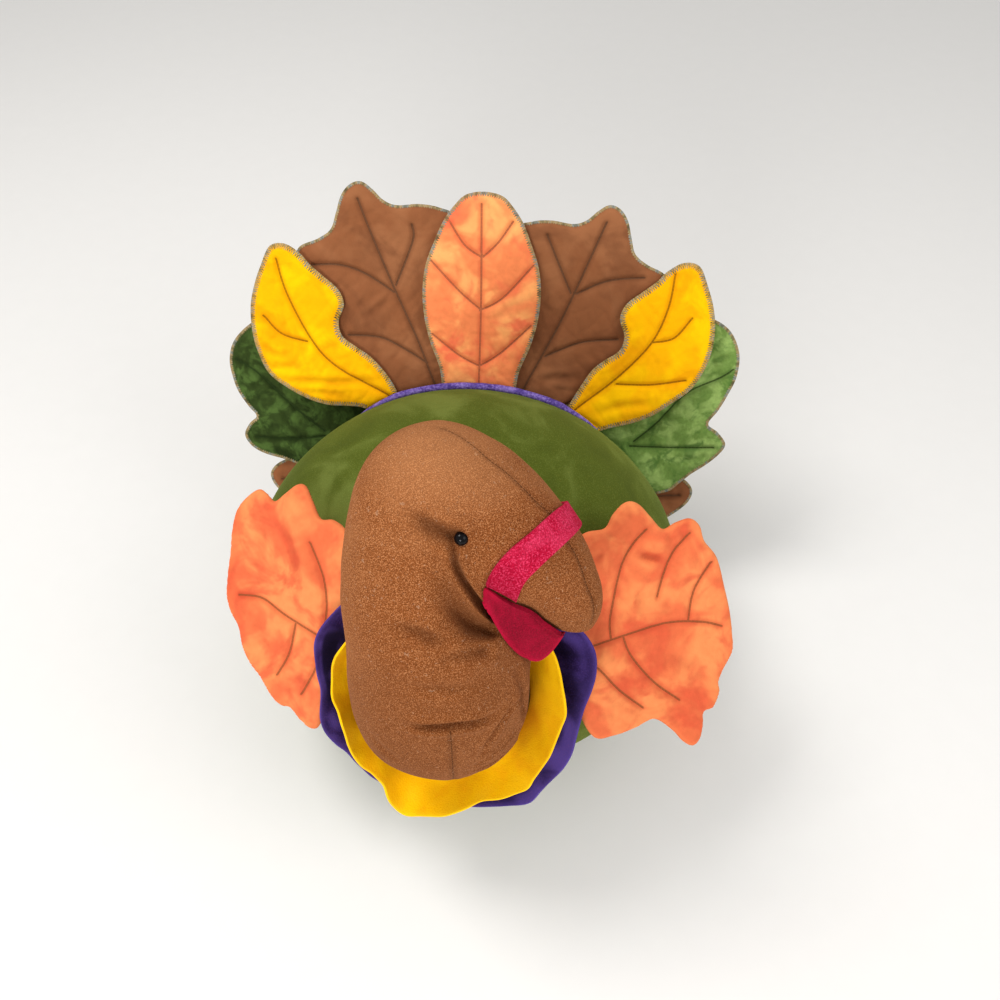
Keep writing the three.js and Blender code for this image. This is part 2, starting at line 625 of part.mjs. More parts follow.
// Thread from eye to eye, shortened at both ends
function threadForm([from, to], radius, shorten) {
  const along = to.clone().sub(from).normalize();
  const start = from.clone().addScaledVector(along, shorten);
  const end = to.clone().addScaledVector(along, -shorten);
  const section = new THREE.Shape().absellipse(0, 0, radius, radius, 0, 2 * Math.PI);
  const path = new THREE.LineCurve3(start, end);
  return solid(new THREE.ExtrudeGeometry(section, { steps: 1, curveSegments: 8, extrudePath: path }));
}

// Red strip over the beak's root: its two edges as turns, for angles round the head in degrees
const stripRounds = [-98, -80, -60, -40, -20, 0, 20, 40, 60, 80, 96];
const stripUpperTurns = [100, 82, 75, 71, 69, 71, 76, 82, 88, 95, 101];
const stripLowerTurns = [76, 70, 65, 60, 57, 57, 60, 64, 69, 73, 76];

function stripForm(grow) {
  const last = stripRounds.length - 1;
  const rings = stripRounds.map((round, i) => {
    const angle = THREE.MathUtils.degToRad(round) + (i === last ? grow / (neckWidth / 2) : 0);
    const [up, low] = [stripUpperTurns[i], stripLowerTurns[i]];
    const turns = [0, 1, 2, 3, 4].map((k) => THREE.MathUtils.lerp(up, low, k / 4));
    const top = turns.map((turn) => headPoint(turn, angle, clearance + stripThickness + grow));
    const bottom = turns.reverse().map((turn) => headPoint(turn, angle, -stripThickness));
    return [...top, ...bottom];
  });
  return solid(loft(rings));
}

function makeStrip() {
  addPiece('snood_strip', stripForm(0).subtract(clearOfHead(clearance)), colours.red);
}

function clearOfHead(gap) {
  return neckSkin(gap, [], headTurns.at(-1) - 3);
}

// Wattle: a flap that hangs from the throat end of the strip and passes under the beak
const wattleShares = [
  [-0.09, 0], [-0.05, -0.09], [0.13, -0.19], [0.33, -0.29], [0.53, -0.37], [0.71, -0.43],
  [0.88, -0.46], [1.02, -0.45], [1.11, -0.41], [1.15, -0.3], [1.13, -0.1], [1.1, 0.005],
  [0.92, 0.04], [0.73, 0.03], [0.5, 0.03], [0.33, 0], [0.1, 0],
];
const wattleAcross = new THREE.Vector3(0.619, 0.206, -0.758).normalize();
const wattleOut = new THREE.Vector3(0.523, -0.828, 0.202).normalize();

function makeWattle() {
  const up = new THREE.Vector3().crossVectors(wattleOut, wattleAcross).normalize();
  const root = headPoint(wattleTurn, wattleRound, clearance + stripThickness / 2);
  const holder = frame(root, wattleAcross, up);
  const points = wattleShares.map(([x, y]) => new THREE.Vector2(x * wattleLength, y * wattleLength));
  const cut = { depth: stripThickness, bevelEnabled: false };
  const flap = new THREE.ExtrudeGeometry(new THREE.Shape(points), cut);
  const away = clearOfHead(wattleClearance).add(stripForm(clearance));
  const whole = solid(flap.translate(0, 0, -stripThickness / 2));
  const trimmed = whole.subtract(seenFrom(holder, away));
  addPiece('wattle', trimmed, colours.red, holder);
  group.add(holder);
}

// Collar rims, as shares of the collar's reach, every 15 degrees from the chest's foot towards +X
const yellowRimShares = [
  0.99, 0.92, 0.88, 0.94, 0.89, 0.86, 0.93, 0.93, 0.95, 0.93, 0.88, 0.84,
  0.83, 0.83, 0.84, 0.85, 0.86, 0.85, 0.81, 0.78, 0.81, 0.86, 0.87, 1.02,
];
const purpleRimShares = [
  0.88, 0.87, 0.96, 0.98, 0.94, 0.92, 0.92, 1.01, 1, 0.93, 0.83, 0.78,
  0.76, 0.78, 0.82, 0.88, 0.91, 0.87, 0.81, 0.83, 0.8, 0.79, 0.83, 0.89,
];

// Wavy collar: a funnel that stands off the chest in front and lies flat on it behind the neck
function makeCollar(name, colour, { rimShares, reach, rise, wave, seat }) {
  const rings = [];
  for (let k = 0; k < collarSteps; k++) {
    const angle = (2 * Math.PI * k) / collarSteps;
    const front = THREE.MathUtils.smoothstep(Math.cos(angle), -0.97, -0.5);
    const far = reach * roundTable(rimShares, k / collarSteps);
    const ripple = Math.sin(collarWaves * angle) + 0.5 * Math.sin((collarWaves - 3) * angle + 1);
    const stations = [0, 0.35, 0.7, 1].map((part) => {
      const radius = THREE.MathUtils.lerp(collarRoot, far, part);
      const lying = seat - chestDrop(radius, angle);
      return { radius, height: lying + front * part * (rise + wave * ripple - lying) };
    });
    rings.push(sheetSection(stations, angle));
  }
  addPiece(name, solid(loft(rings, true)).subtract(clearOfBody), colours[colour]);
}

// A share read from a table that runs once round and closes on itself, by a smooth curve
function roundTable(shares, part) {
  const count = shares.length;
  const at = part * count;
  const k = Math.floor(at);
  const t = at - k;
  const [a, b, c, d] = [k - 1, k, k + 1, k + 2].map((i) => shares[(i + count) % count]);
  return smooth(a, b, c, d, t);
}

// How far the chest lies below the plane that touches it at the neck's root
function chestDrop(radius, angle) {
  const flat = neckRoot.clone()
    .addScaledVector(chestDown, radius * Math.cos(angle))
    .add(new THREE.Vector3(radius * Math.sin(angle), 0, 0));
  return dropToBody(flat, chestOut.clone().negate());
}

// The corners of the collar's section, half its thickness to each side of the stations
function sheetSection(stations, angle) {
  const side = (sign) => stations.map((station, i) => {
    const before = stations[Math.max(0, i - 1)];
    const after = stations[Math.min(stations.length - 1, i + 1)];
    const run = new THREE.Vector2(after.radius - before.radius, after.height - before.height).normalize();
    const radius = station.radius - (sign * run.y * collarThickness) / 2;
    const height = station.height + (sign * run.x * collarThickness) / 2;
    return neckRoot.clone()
      .addScaledVector(chestDown, radius * Math.cos(angle))
      .addScaledVector(chestOut, height)
      .add(new THREE.Vector3(radius * Math.sin(angle), 0, 0));
  });
  return [...side(1), ...side(-1).reverse()];
}

makeBody();
makeTail();
makeWings();
makeHead();
makeStrip();
makeWattle();
const purpleSeat = 2 * clearance + collarThickness / 2;
const purpleFit = {
  rimShares: purpleRimShares, reach: purpleReach, rise: purpleRise, wave: purpleWave, seat: purpleSeat,
};
makeCollar('collar_purple', 'purple', purpleFit);
const yellowSeat = purpleSeat + collarThickness + 2 * clearance;
const yellowFit = {
  rimShares: yellowRimShares, reach: yellowReach, rise: yellowRise, wave: yellowWave, seat: yellowSeat,
};
makeCollar('collar_yellow', 'yellow', yellowFit);

export default group;
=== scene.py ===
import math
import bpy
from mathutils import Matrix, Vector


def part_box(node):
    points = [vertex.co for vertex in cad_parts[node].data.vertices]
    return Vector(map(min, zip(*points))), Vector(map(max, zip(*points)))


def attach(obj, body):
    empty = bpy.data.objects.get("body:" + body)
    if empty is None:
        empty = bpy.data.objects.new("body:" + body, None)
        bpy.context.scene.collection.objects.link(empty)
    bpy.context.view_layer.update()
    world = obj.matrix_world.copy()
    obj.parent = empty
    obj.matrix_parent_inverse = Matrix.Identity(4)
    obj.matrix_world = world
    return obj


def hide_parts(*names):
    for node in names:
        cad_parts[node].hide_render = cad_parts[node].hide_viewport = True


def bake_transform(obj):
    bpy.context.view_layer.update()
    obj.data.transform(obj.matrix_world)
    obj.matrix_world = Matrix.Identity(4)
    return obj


bl_info = {
    "name": "Stuffed Turkey Centrepiece",
    "version": (1, 0, 0),
    "blender": (4, 5, 0),
    "location": "3D View > Sidebar > Turkey",
    "description": "Dresses the packed turkey in velour, fleece, quilted leaves and wavy cloth collars",
    "category": "Add Mesh",
}

import bmesh
import bpy
import numpy as np
from mathutils import Matrix, Vector, noise
from mathutils.bvhtree import BVHTree

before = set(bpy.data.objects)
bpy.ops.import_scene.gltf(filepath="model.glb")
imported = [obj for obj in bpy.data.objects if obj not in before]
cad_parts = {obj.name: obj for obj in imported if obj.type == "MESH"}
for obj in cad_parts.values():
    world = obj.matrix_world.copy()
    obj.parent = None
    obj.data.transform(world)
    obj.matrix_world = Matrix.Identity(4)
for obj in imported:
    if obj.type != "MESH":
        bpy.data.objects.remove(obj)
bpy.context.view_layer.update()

MM = 0.001

# Neck root on the chest, with the directions out of the chest and down it
NECK_ROOT_HEIGHT = 132.5 * MM
NECK_ROOT_TILT = math.radians(30)
CHEST_OUT = Vector((0, -math.cos(NECK_ROOT_TILT), math.sin(NECK_ROOT_TILT)))
CHEST_DOWN = Vector((0, -math.sin(NECK_ROOT_TILT), -math.cos(NECK_ROOT_TILT)))
NECK_SIDES = 208

# Head: the throat is the fold that the head turns about
THROAT = Vector((39.2, -97.6, 205.4)) * MM
CHEEK_OUT = Vector((-0.205, -0.954, 0.217)).normalized()
BEAK_OUT = Vector((0.978, -0.191, 0.084)).normalized()
FACE_UP = CHEEK_OUT.cross(BEAK_OUT).normalized()
HEAD_TURNS = [180, 165, 150, 135, 120, 105, 90, 75, 60, 45, 30, 15, 0, -17]
OUTER_SHARES = [0.83, 0.85, 0.915, 1, 0.985, 0.85, 0.69, 0.57, 0.49, 0.44, 0.41, 0.4, 0.39, 0.372]
INNER_SHARES = [0.01, 0.02] + [0.03] * 12
WIDTH_SHARES = [0.5, 0.5, 0.505, 0.5, 0.465, 0.41, 0.355, 0.305, 0.265, 0.235, 0.21, 0.19, 0.162, 0.128]
FORWARD_SHARES = [0.15, 0.11, 0.06, 0.02] + [0] * 10
NECK_RING_SHARES = [
    [[-0.437, -0.207], [0.278, 0.483]],
    [[-0.544, 0.028], [0.322, 0.539]],
    [[-0.544, 0.306], [0.389, 0.578]],
    [[-0.489, 0.572], [0.478, 0.65]],
]
BEAK_END_TURN = -16
EYE_TURN = 107
EYE_ROUND = math.radians(70)

# Creases where the fleece is pulled in or folds: points and depths along each in millimetres, and its width
CREASES = [
    ([(-10.6, -104.3, 275.1), (-5.4, -107.9, 273.1), (0.2, -110.6, 270.7), (6.2, -112.1, 268.5),
      (9.5, -112.8, 267.1)], [0.2, 1.1, 2.2, 3.0, 3.0], 3.3),
    ([(10.8, -115.8, 262.8), (11.4, -118.8, 256.8), (14.4, -121.0, 249.2), (18.3, -121.8, 241.2),
      (23.1, -120.3, 229.0), (27.0, -117.7, 214.6)], [1.8, 2.2, 2.8, 3.1, 2.9, 2.2], 1.6),
    ([(5.5, -120, 257), (8, -125, 246), (12, -128, 235), (17, -128, 224), (23, -125, 212)],
     [0.1, 0.9, 1.6, 2.0, 2.0], 5.5),
    ([(6.6, -126.2, 238.4), (13.4, -126.2, 229.3), (19.8, -125.3, 220.3), (26.3, -123.5, 213.6)],
     [0, 1.0, 1.5, 1.5], 2.6),
    ([(-19.0, -134.1, 228.8), (-6.1, -135.7, 227.9), (2.8, -136.4, 223.4), (9.8, -135.1, 220.7)],
     [0, 1.1, 1.4, 0.1], 2.8),
    ([(3.3, -143.9, 215.3), (12.0, -140.1, 215.2), (24.2, -133.2, 211.6)], [0, 1.1, 1.5], 2.8),
    ([(-11.4, -155.8, 178.3), (1.2, -156.7, 180.2), (12.4, -155.0, 180.7), (25.2, -149.6, 178.1),
      (32.4, -144.1, 178.7)], [0.2, 2.4, 2.6, 2.0, 0.3], 1.9),
    ([(21.4, -156.0, 143.9), (30.9, -149.9, 148.2), (40.1, -138.7, 151.5)], [0.5, 2.2, 1.4], 1.6),
    ([(15.3, -158.3, 138.8), (27.9, -150.3, 135.4), (40, -139, 131)], [0.1, 1.5, 1.5], 1.8),
    ([(-13.3, -148.6, 202.6), (1.2, -149.4, 202.6), (13.8, -147.0, 200.2), (24.8, -141.7, 197.6)],
     [0, 0.7, 0.9, 0.2], 3.0),
    ([(43.5, -129.4, 170.4), (37.9, -138.8, 174.2), (32.8, -146.0, 169.6), (27.6, -151.7, 160.7),
      (24.2, -154.3, 152.0)], [0.3, 1.0, 1.6, 1.7, 0.4], 1.6),
    ([(-31.9, -148.7, 160.3), (-23.9, -154.6, 153.3), (-11.3, -159.6, 147.0)], [0, 0.6, 0], 2.6),
    ([(39.0, -129.3, 190.2), (41.6, -131.6, 175.2), (42.9, -132.6, 156.2)], [0.5, 1.2, 1.0], 2.4),
]
CREASE_DEPTH = 1.75
SEAMS = [
    [(10.1, -156.0, 177.9), (10.8, -159.6, 160.4), (10.6, -159.7, 140.0), (9, -153, 112)],
    [(-0.5, -64.3, 283.4), (6.0, -67.1, 283.0), (20.7, -77.8, 280.9), (29.7, -82.0, 276.5),
     (38.2, -86.6, 270.9), (44.4, -89.8, 266.1), (50.4, -90.9, 260.7), (58.1, -96.9, 251.7),
     (62.8, -100.1, 244.9), (65.7, -103.0, 239.1), (69.0, -106.7, 230.7), (71.6, -108.3, 224.3),
     (73.5, -110.5, 215.1), (73.2, -111.8, 207)],
]

# Red strip over the beak's root: its two edges as turns, for angles round the head
STRIP_ROUNDS = [-98, -80, -60, -40, -20, 0, 20, 40, 60, 80, 96]
STRIP_UPPER_TURNS = [94, 79, 72.5, 70.5, 71, 73.2, 76.2, 80.3, 86.5, 93.5, 100]
STRIP_LOWER_TURNS = [74, 67, 61.5, 58.5, 58, 59.9, 62.7, 66.2, 70.5, 75.3, 76.5]

# Wattle: the flap that hangs from the strip's throat end
WATTLE_ROOT = Vector((27.481511, -121.506712, 242.324788)) * MM
WATTLE_ACROSS = Vector((0.61895, 0.205983, -0.757939))
WATTLE_UP = Vector((0.585989, 0.521452, 0.620246))
WATTLE_SHARES = [
    (-0.09, 0), (-0.05, -0.09), (0.13, -0.19), (0.33, -0.29), (0.53, -0.37), (0.71, -0.43),
    (0.88, -0.46), (1.02, -0.45), (1.11, -0.41), (1.15, -0.3), (1.13, -0.1), (1.1, 0.005),
    (0.92, 0.04), (0.73, 0.03), (0.5, 0.03), (0.33, 0), (0.1, 0),
]

# Collar rims, as shares of the collar's reach, every 7.5 degrees from the chest's foot towards +X
COLLAR_ROOT = 45.8 * MM
COLLAR_WAVES = 8
YELLOW_RIM_SHARES = [
    0.967, 0.908, 0.877, 0.875, 0.935, 0.951, 0.96, 0.918, 0.902, 0.906, 0.906, 0.915,
    0.935, 0.932, 0.93, 0.94, 0.95, 0.945, 0.93, 0.905, 0.88, 0.86, 0.84, 0.833,
    0.83, 0.83, 0.83, 0.835, 0.84, 0.845, 0.85, 0.855, 0.86, 0.86, 0.85, 0.83,
    0.812, 0.765, 0.754, 0.77, 0.804, 0.83, 0.826, 0.806, 0.837, 0.975, 1.047, 1.01,
]
PURPLE_RIM_SHARES = [
    0.83, 0.825, 0.845, 0.895, 0.95, 0.995, 0.96, 0.942, 0.943, 0.938, 0.92, 0.915,
    0.93, 0.972, 1.018, 1.045, 1.028, 0.97, 0.93, 0.88, 0.83, 0.8, 0.78, 0.765,
    0.76, 0.765, 0.78, 0.8, 0.82, 0.85, 0.88, 0.9, 0.91, 0.903, 0.875, 0.84,
    0.806, 0.81, 0.832, 0.843, 0.83, 0.803, 0.8, 0.8, 0.8, 0.82, 0.84, 0.84,
]

# Fan tail: a plane that leans back through the body's rear
FAN_LEAN = math.radians(27)
FAN_ROOT = Vector((0, 98, 140)) * MM
LEAF_SPACING = 5.8 * MM
WELT_REACH = math.radians(43)
WELT_RADIUS = 2.4 * MM
ORANGE_SHARES = [
    (-0.13, -0.05), (0.13, -0.05), (0.19, 0.18), (0.235, 0.3), (0.265, 0.42), (0.275, 0.55),
    (0.26, 0.67), (0.22, 0.78), (0.18, 0.87), (0.13, 0.94), (0.08, 0.985), (0, 1),
    (-0.08, 0.985), (-0.13, 0.94), (-0.18, 0.87), (-0.22, 0.78), (-0.26, 0.67), (-0.275, 0.55),
    (-0.265, 0.42), (-0.235, 0.3), (-0.19, 0.18),
]
ORANGE_VEINS = [
    [(0, 0.08), (0, 0.5), (-0.01, 0.94)],
    [(0, 0.71), (0.07, 0.78), (0.13, 0.87)],
    [(0, 0.71), (-0.08, 0.76), (-0.15, 0.86)],
    [(0, 0.47), (0.1, 0.53), (0.23, 0.68)],
    [(0, 0.47), (-0.1, 0.55), (-0.23, 0.68)],
    [(0, 0.2), (0.1, 0.27), (0.23, 0.4)],
    [(0, 0.2), (-0.1, 0.25), (-0.22, 0.34)],
]
BROWN_SHARES = [
    (0.16, 0), (0.1, 0.22), (0.07, 0.45), (0.09, 0.7), (0.13, 0.86), (0.21, 0.9), (0.3, 0.91),
    (0.4, 0.9), (0.46, 0.92), (0.51, 0.965), (0.56, 0.995), (0.61, 0.98), (0.65, 0.93),
    (0.675, 0.85), (0.7, 0.78), (0.76, 0.735), (0.85, 0.69), (0.86, 0.6), (0.82, 0.45),
    (0.73, 0.3), (0.58, 0.15), (0.45, 0.02),
]
BROWN_VEINS = [
    [(0.25, 0.04), (0.345, 0.3), (0.42, 0.51), (0.5, 0.73), (0.565, 0.92)],
    [(0.43, 0.55), (0.36, 0.69), (0.29, 0.84)],
    [(0.44, 0.56), (0.54, 0.6), (0.66, 0.615), (0.77, 0.62)],
    [(0.335, 0.28), (0.46, 0.31), (0.62, 0.33)],
]
YELLOW_SHARES = [
    (0.4, -0.04), (0.44, 0.04), (0.487, 0.13), (0.535, 0.21), (0.59, 0.26), (0.655, 0.31), (0.672, 0.38),
    (0.645, 0.46), (0.67, 0.53), (0.74, 0.59), (0.8, 0.64), (0.84, 0.685), (0.9, 0.725),
    (0.955, 0.73), (0.995, 0.705), (1.03, 0.63), (1.065, 0.54), (1.085, 0.435), (1.08, 0.32),
    (1.05, 0.22), (1, 0.135), (0.925, 0.07), (0.835, 0), (0.735, -0.045),
    (0.65, -0.07), (0.57, -0.1), (0.47, -0.14), (0.38, -0.1),
]
YELLOW_VEINS = [
    [(0.47, 0.02), (0.6, 0.1), (0.72, 0.2), (0.82, 0.32), (0.89, 0.48), (0.93, 0.67)],
    [(0.82, 0.31), (0.91, 0.34), (1.02, 0.43)],
    [(0.64, 0.12), (0.78, 0.11), (0.95, 0.125)],
]
GREEN_SHARES = [
    (0.4, 0.05), (0.5, 0.14), (0.72, 0.22), (0.92, 0.37), (1.03, 0.42), (1.12, 0.39), (1.19, 0.33), (1.24, 0.24),
    (1.245, 0.13), (1.22, 0.03), (1.17, -0.06), (1.135, -0.115), (1.18, -0.16), (1.21, -0.215),
    (1.18, -0.27), (1.12, -0.325), (1.03, -0.37), (0.9, -0.4), (0.7, -0.36),
]
GREEN_VEINS = [
    [(0.78, -0.17), (0.94, -0.03), (1.09, 0.13), (1.19, 0.2)],
    [(0.78, -0.19), (0.94, -0.21), (1.13, -0.2)],
]
LOWER_SHARES = [
    (0.72, -0.38), (0.9, -0.33), (1.03, -0.37), (1.095, -0.43), (1.085, -0.5), (1.02, -0.57),
    (0.93, -0.63), (0.82, -0.66), (0.72, -0.6),
]
LOWER_VEINS = [[(0.84, -0.5), (0.93, -0.48), (1.03, -0.47)]]
LEAF_CUTS = {
    "orange": (ORANGE_SHARES, ORANGE_VEINS, 1.5),
    "yellow": (YELLOW_SHARES, YELLOW_VEINS, 1.5),
    "brown": (BROWN_SHARES, BROWN_VEINS, 0.5),
    "green": (GREEN_SHARES, GREEN_VEINS, -0.5),
    "lower": (LOWER_SHARES, LOWER_VEINS, -1.5),
}
TAIL_LEAVES = [
    ("tail_leaf_orange", "orange", 1, 0, 1),
    ("tail_leaf_yellow_left", "yellow", 1, 0, 1),
    ("tail_leaf_yellow_right", "yellow", -1, 0, 1),
    ("tail_leaf_brown_left", "brown", 1, -0.9, 0.975),
    ("tail_leaf_brown_right", "brown", -1, -0.3, 1.018),
    ("tail_leaf_green_left", "green", 1, 2.9, 0.995),
    ("tail_leaf_green_right", "green", -1, 2.7, 1),
    ("tail_leaf_lower_left", "lower", 1, 0.5, 0.985),
    ("tail_leaf_lower_right", "lower", -1, 1.5, 0.99),
]
OWN_SHARES = {
    "tail_leaf_yellow_right": [
        (0.37, -0.04), (0.4, 0.06), (0.45, 0.14), (0.52, 0.215), (0.59, 0.262), (0.655, 0.31), (0.672, 0.38),
        (0.645, 0.46), (0.67, 0.53), (0.74, 0.59), (0.8, 0.64), (0.84, 0.685), (0.9, 0.725), (0.955, 0.73),
        (0.995, 0.705), (1.03, 0.63), (1.065, 0.54), (1.09, 0.435), (1.09, 0.32), (1.07, 0.22), (1.02, 0.11),
        (0.93, 0.04), (0.83, -0.01), (0.735, -0.035), (0.65, -0.035), (0.56, -0.04), (0.47, -0.08), (0.38, -0.1),
    ],
    "tail_leaf_green_left": [
        (0.4, 0.05), (0.5, 0.14), (0.72, 0.22), (0.92, 0.37), (1.03, 0.42), (1.12, 0.405), (1.2, 0.345),
        (1.245, 0.24), (1.24, 0.13), (1.21, 0.05), (1.165, -0.04), (1.12, -0.11), (1.17, -0.155), (1.21, -0.215),
        (1.18, -0.27), (1.12, -0.325), (1.05, -0.375), (0.99, -0.43), (0.94, -0.47), (0.84, -0.48), (0.7, -0.4),
    ],
    "tail_leaf_green_right": [
        (0.4, 0.05), (0.5, 0.14), (0.72, 0.22), (0.92, 0.37), (1.03, 0.41), (1.12, 0.37), (1.2, 0.29),
        (1.23, 0.2), (1.225, 0.12), (1.205, 0.04), (1.16, -0.04), (1.125, -0.09), (1.165, -0.13), (1.195, -0.19),
        (1.165, -0.25), (1.1, -0.29), (1, -0.32), (0.88, -0.36), (0.7, -0.34),
    ],
}
OWN_VEINS = {
    "tail_leaf_yellow_left": [
        [(0.44, -0.02), (0.493, 0.034), (0.648, 0.173), (0.797, 0.35), (0.861, 0.517), (0.878, 0.671)],
        [(0.803, 0.357), (0.901, 0.383), (0.971, 0.475)],
        [(0.651, 0.148), (0.815, 0.154), (0.969, 0.184)],
    ],
    "tail_leaf_yellow_right": [
        [(0.42, 0.01), (0.453, 0.04), (0.683, 0.159), (0.801, 0.283), (0.912, 0.498), (0.955, 0.655)],
        [(0.82, 0.275), (0.946, 0.307), (1.025, 0.386)],
    ],
    "tail_leaf_brown_left": [
        [(0.19, 0.03), (0.24, 0.145), (0.352, 0.387), (0.423, 0.562), (0.491, 0.746), (0.551, 0.911)],
        [(0.415, 0.576), (0.342, 0.723), (0.285, 0.841)],
        [(0.436, 0.577), (0.582, 0.649), (0.745, 0.674)],
        [(0.31, 0.262), (0.36, 0.29), (0.483, 0.346), (0.65, 0.372)],
    ],
    "tail_leaf_brown_right": [
        [(0.19, 0.03), (0.234, 0.133), (0.297, 0.293), (0.408, 0.53), (0.514, 0.771), (0.572, 0.915)],
        [(0.402, 0.54), (0.325, 0.746), (0.328, 0.815)],
        [(0.405, 0.51), (0.54, 0.589), (0.66, 0.623), (0.781, 0.617)],
        [(0.247, 0.183), (0.346, 0.24), (0.469, 0.295), (0.617, 0.299)],
    ],
    "tail_leaf_green_left": [
        [(0.758, -0.205), (0.868, -0.106), (1.002, 0.044), (1.163, 0.125), (1.216, 0.161)],
        [(0.738, -0.228), (0.931, -0.234), (1.145, -0.232)],
    ],
}

# Soft folds of the leaves: points as shares, depth and width in millimetres
LEAF_FOLDS = {
    "tail_leaf_yellow_left": [
        ([(0.551, -0.006), (0.686, 0.045), (0.85, 0.069)], 0.9, 2.6),
        ([(0.6, 0.2), (0.7, 0.3), (0.74, 0.42)], 0.4, 3.2),
    ],
    "tail_leaf_yellow_right": [
        ([(0.997, 0.076), (0.827, 0.085), (0.659, 0.088), (0.479, 0.112)], 1.2, 2.2),
        ([(1.051, 0.256), (0.989, 0.214), (0.913, 0.205)], 1.0, 2.4),
        ([(1.03, 0.16), (0.93, 0.15), (0.84, 0.18)], 0.6, 2.2),
        ([(0.554, 0.199), (0.478, 0.138), (0.43, 0.076)], 0.9, 2.4),
        ([(0.62, 0.0), (0.75, 0.03), (0.87, 0.03)], 0.6, 2.0),
    ],
    "tail_leaf_brown_left": [
        ([(0.277, 0.133), (0.368, 0.162), (0.483, 0.17)], 1.0, 2.4),
        ([(0.3, 0.62), (0.31, 0.5), (0.35, 0.42)], 0.5, 3.0),
    ],
    "tail_leaf_brown_right": [
        ([(0.555, 0.377), (0.481, 0.442), (0.42, 0.494)], 0.8, 2.2),
        ([(0.6, 0.42), (0.53, 0.47), (0.47, 0.53)], 0.5, 2.2),
        ([(0.29, 0.7), (0.3, 0.55), (0.33, 0.45)], 0.5, 3.0),
    ],
    "tail_leaf_green_left": [
        ([(1.15, 0.33), (1.1, 0.24)], 0.7, 1.8), ([(1.2, 0.24), (1.09, 0.19)], 0.8, 1.8),
        ([(1.17, 0.15), (1.04, 0.13)], 0.8, 1.8), ([(1.09, 0.06), (0.98, 0.08)], 0.7, 1.8),
        ([(1.02, -0.04), (0.92, 0.02)], 0.7, 1.8), ([(0.95, -0.1), (0.86, -0.04)], 0.7, 1.8),
        ([(0.95, -0.3), (1.05, -0.29), (1.14, -0.26)], 0.7, 2.2),
    ],
    "tail_leaf_green_right": [
        ([(1.0, -0.02), (0.95, -0.14), (0.86, -0.22)], 0.8, 2.2), ([(1.16, 0.05), (1.05, 0.1)], 0.7, 2.0),
        ([(1.1, -0.24), (0.97, -0.2), (0.85, -0.27)], 0.8, 2.2), ([(1.12, 0.2), (1.02, 0.14)], 0.6, 2.0),
    ],
    "tail_leaf_orange": [
        ([(0.06, 0.4), (0.12, 0.48), (0.2, 0.52)], 0.5, 2.2), ([(-0.06, 0.62), (-0.13, 0.66), (-0.2, 0.66)], 0.5, 2.2),
    ],
    "wing_left": [
        ([(0.248, 0.29), (0.297, 0.256), (0.342, 0.237)], 1.9, 1.9),
        ([(0.262, 0.321), (0.315, 0.297), (0.356, 0.27)], -1.3, 3.4),
        ([(0.075, 0.32), (0.124, 0.337)], 1.0, 1.8),
        ([(0.37, 0.33), (0.385, 0.26)], 0.7, 2.4),
        ([(0.2, -0.1), (0.3, -0.16), (0.4, -0.24)], 0.6, 4.0),
        ([(0.2, 0.05), (0.22, 0.16)], 0.5, 3.5),
    ],
    "wing_right": [
        ([(0.224, 0.351), (0.147, 0.272), (0.062, 0.141)], 0.9, 3.0),
        ([(0.3, 0.3), (0.27, 0.22), (0.26, 0.14)], 0.7, 3.4),
        ([(0.2, -0.05), (0.14, -0.13)], 0.6, 3.4),
    ],
}

# Wings: one quilted leaf on each flank
WING_ROOT_SIDE = 77 * MM
WING_ROOT_HEIGHT = 137 * MM
WING_TURN = math.radians(29.7)
WING_TILT = math.radians(36.7)
WING_STAND_OFF = 3.4 * MM
LEFT_WING_SHARES = [
    (-0.12, 0.13), (-0.09, 0.3), (-0.01, 0.4), (0.075, 0.43), (0.15, 0.42), (0.19, 0.455),
    (0.235, 0.48), (0.27, 0.48), (0.3, 0.455), (0.33, 0.4), (0.365, 0.34), (0.42, 0.345),
    (0.48, 0.34), (0.51, 0.3), (0.515, 0.24), (0.55, 0.16), (0.555, 0.04), (0.555, -0.06),
    (0.545, -0.15), (0.53, -0.215), (0.475, -0.27), (0.445, -0.31), (0.44, -0.35), (0.4, -0.4),
    (0.36, -0.4), (0.345, -0.45), (0.32, -0.5), (0.285, -0.515), (0.25, -0.48), (0.22, -0.42),
    (0.16, -0.345), (0.085, -0.345), (-0.01, -0.34), (-0.09, -0.305), (-0.12, -0.13),
]
LEFT_WING_VEINS = [
    [(-0.08, 0.03), (0.003, 0.023), (0.12, 0.015), (0.296, -0.004), (0.432, -0.054), (0.502, -0.097)],
    [(0.07, 0.022), (0.08, 0.08), (0.11, 0.147), (0.175, 0.266), (0.235, 0.327), (0.296, 0.359)],
    [(0.282, 0.106), (0.334, 0.189), (0.384, 0.246), (0.458, 0.287)],
    [(0.381, -0.03), (0.43, 0.074), (0.517, 0.15)],
    [(0.118, 0.012), (0.13, -0.07), (0.19, -0.2), (0.268, -0.305)],
    [(-0.06, 0), (-0.003, -0.069), (0.053, -0.177), (0.12, -0.273)],
]
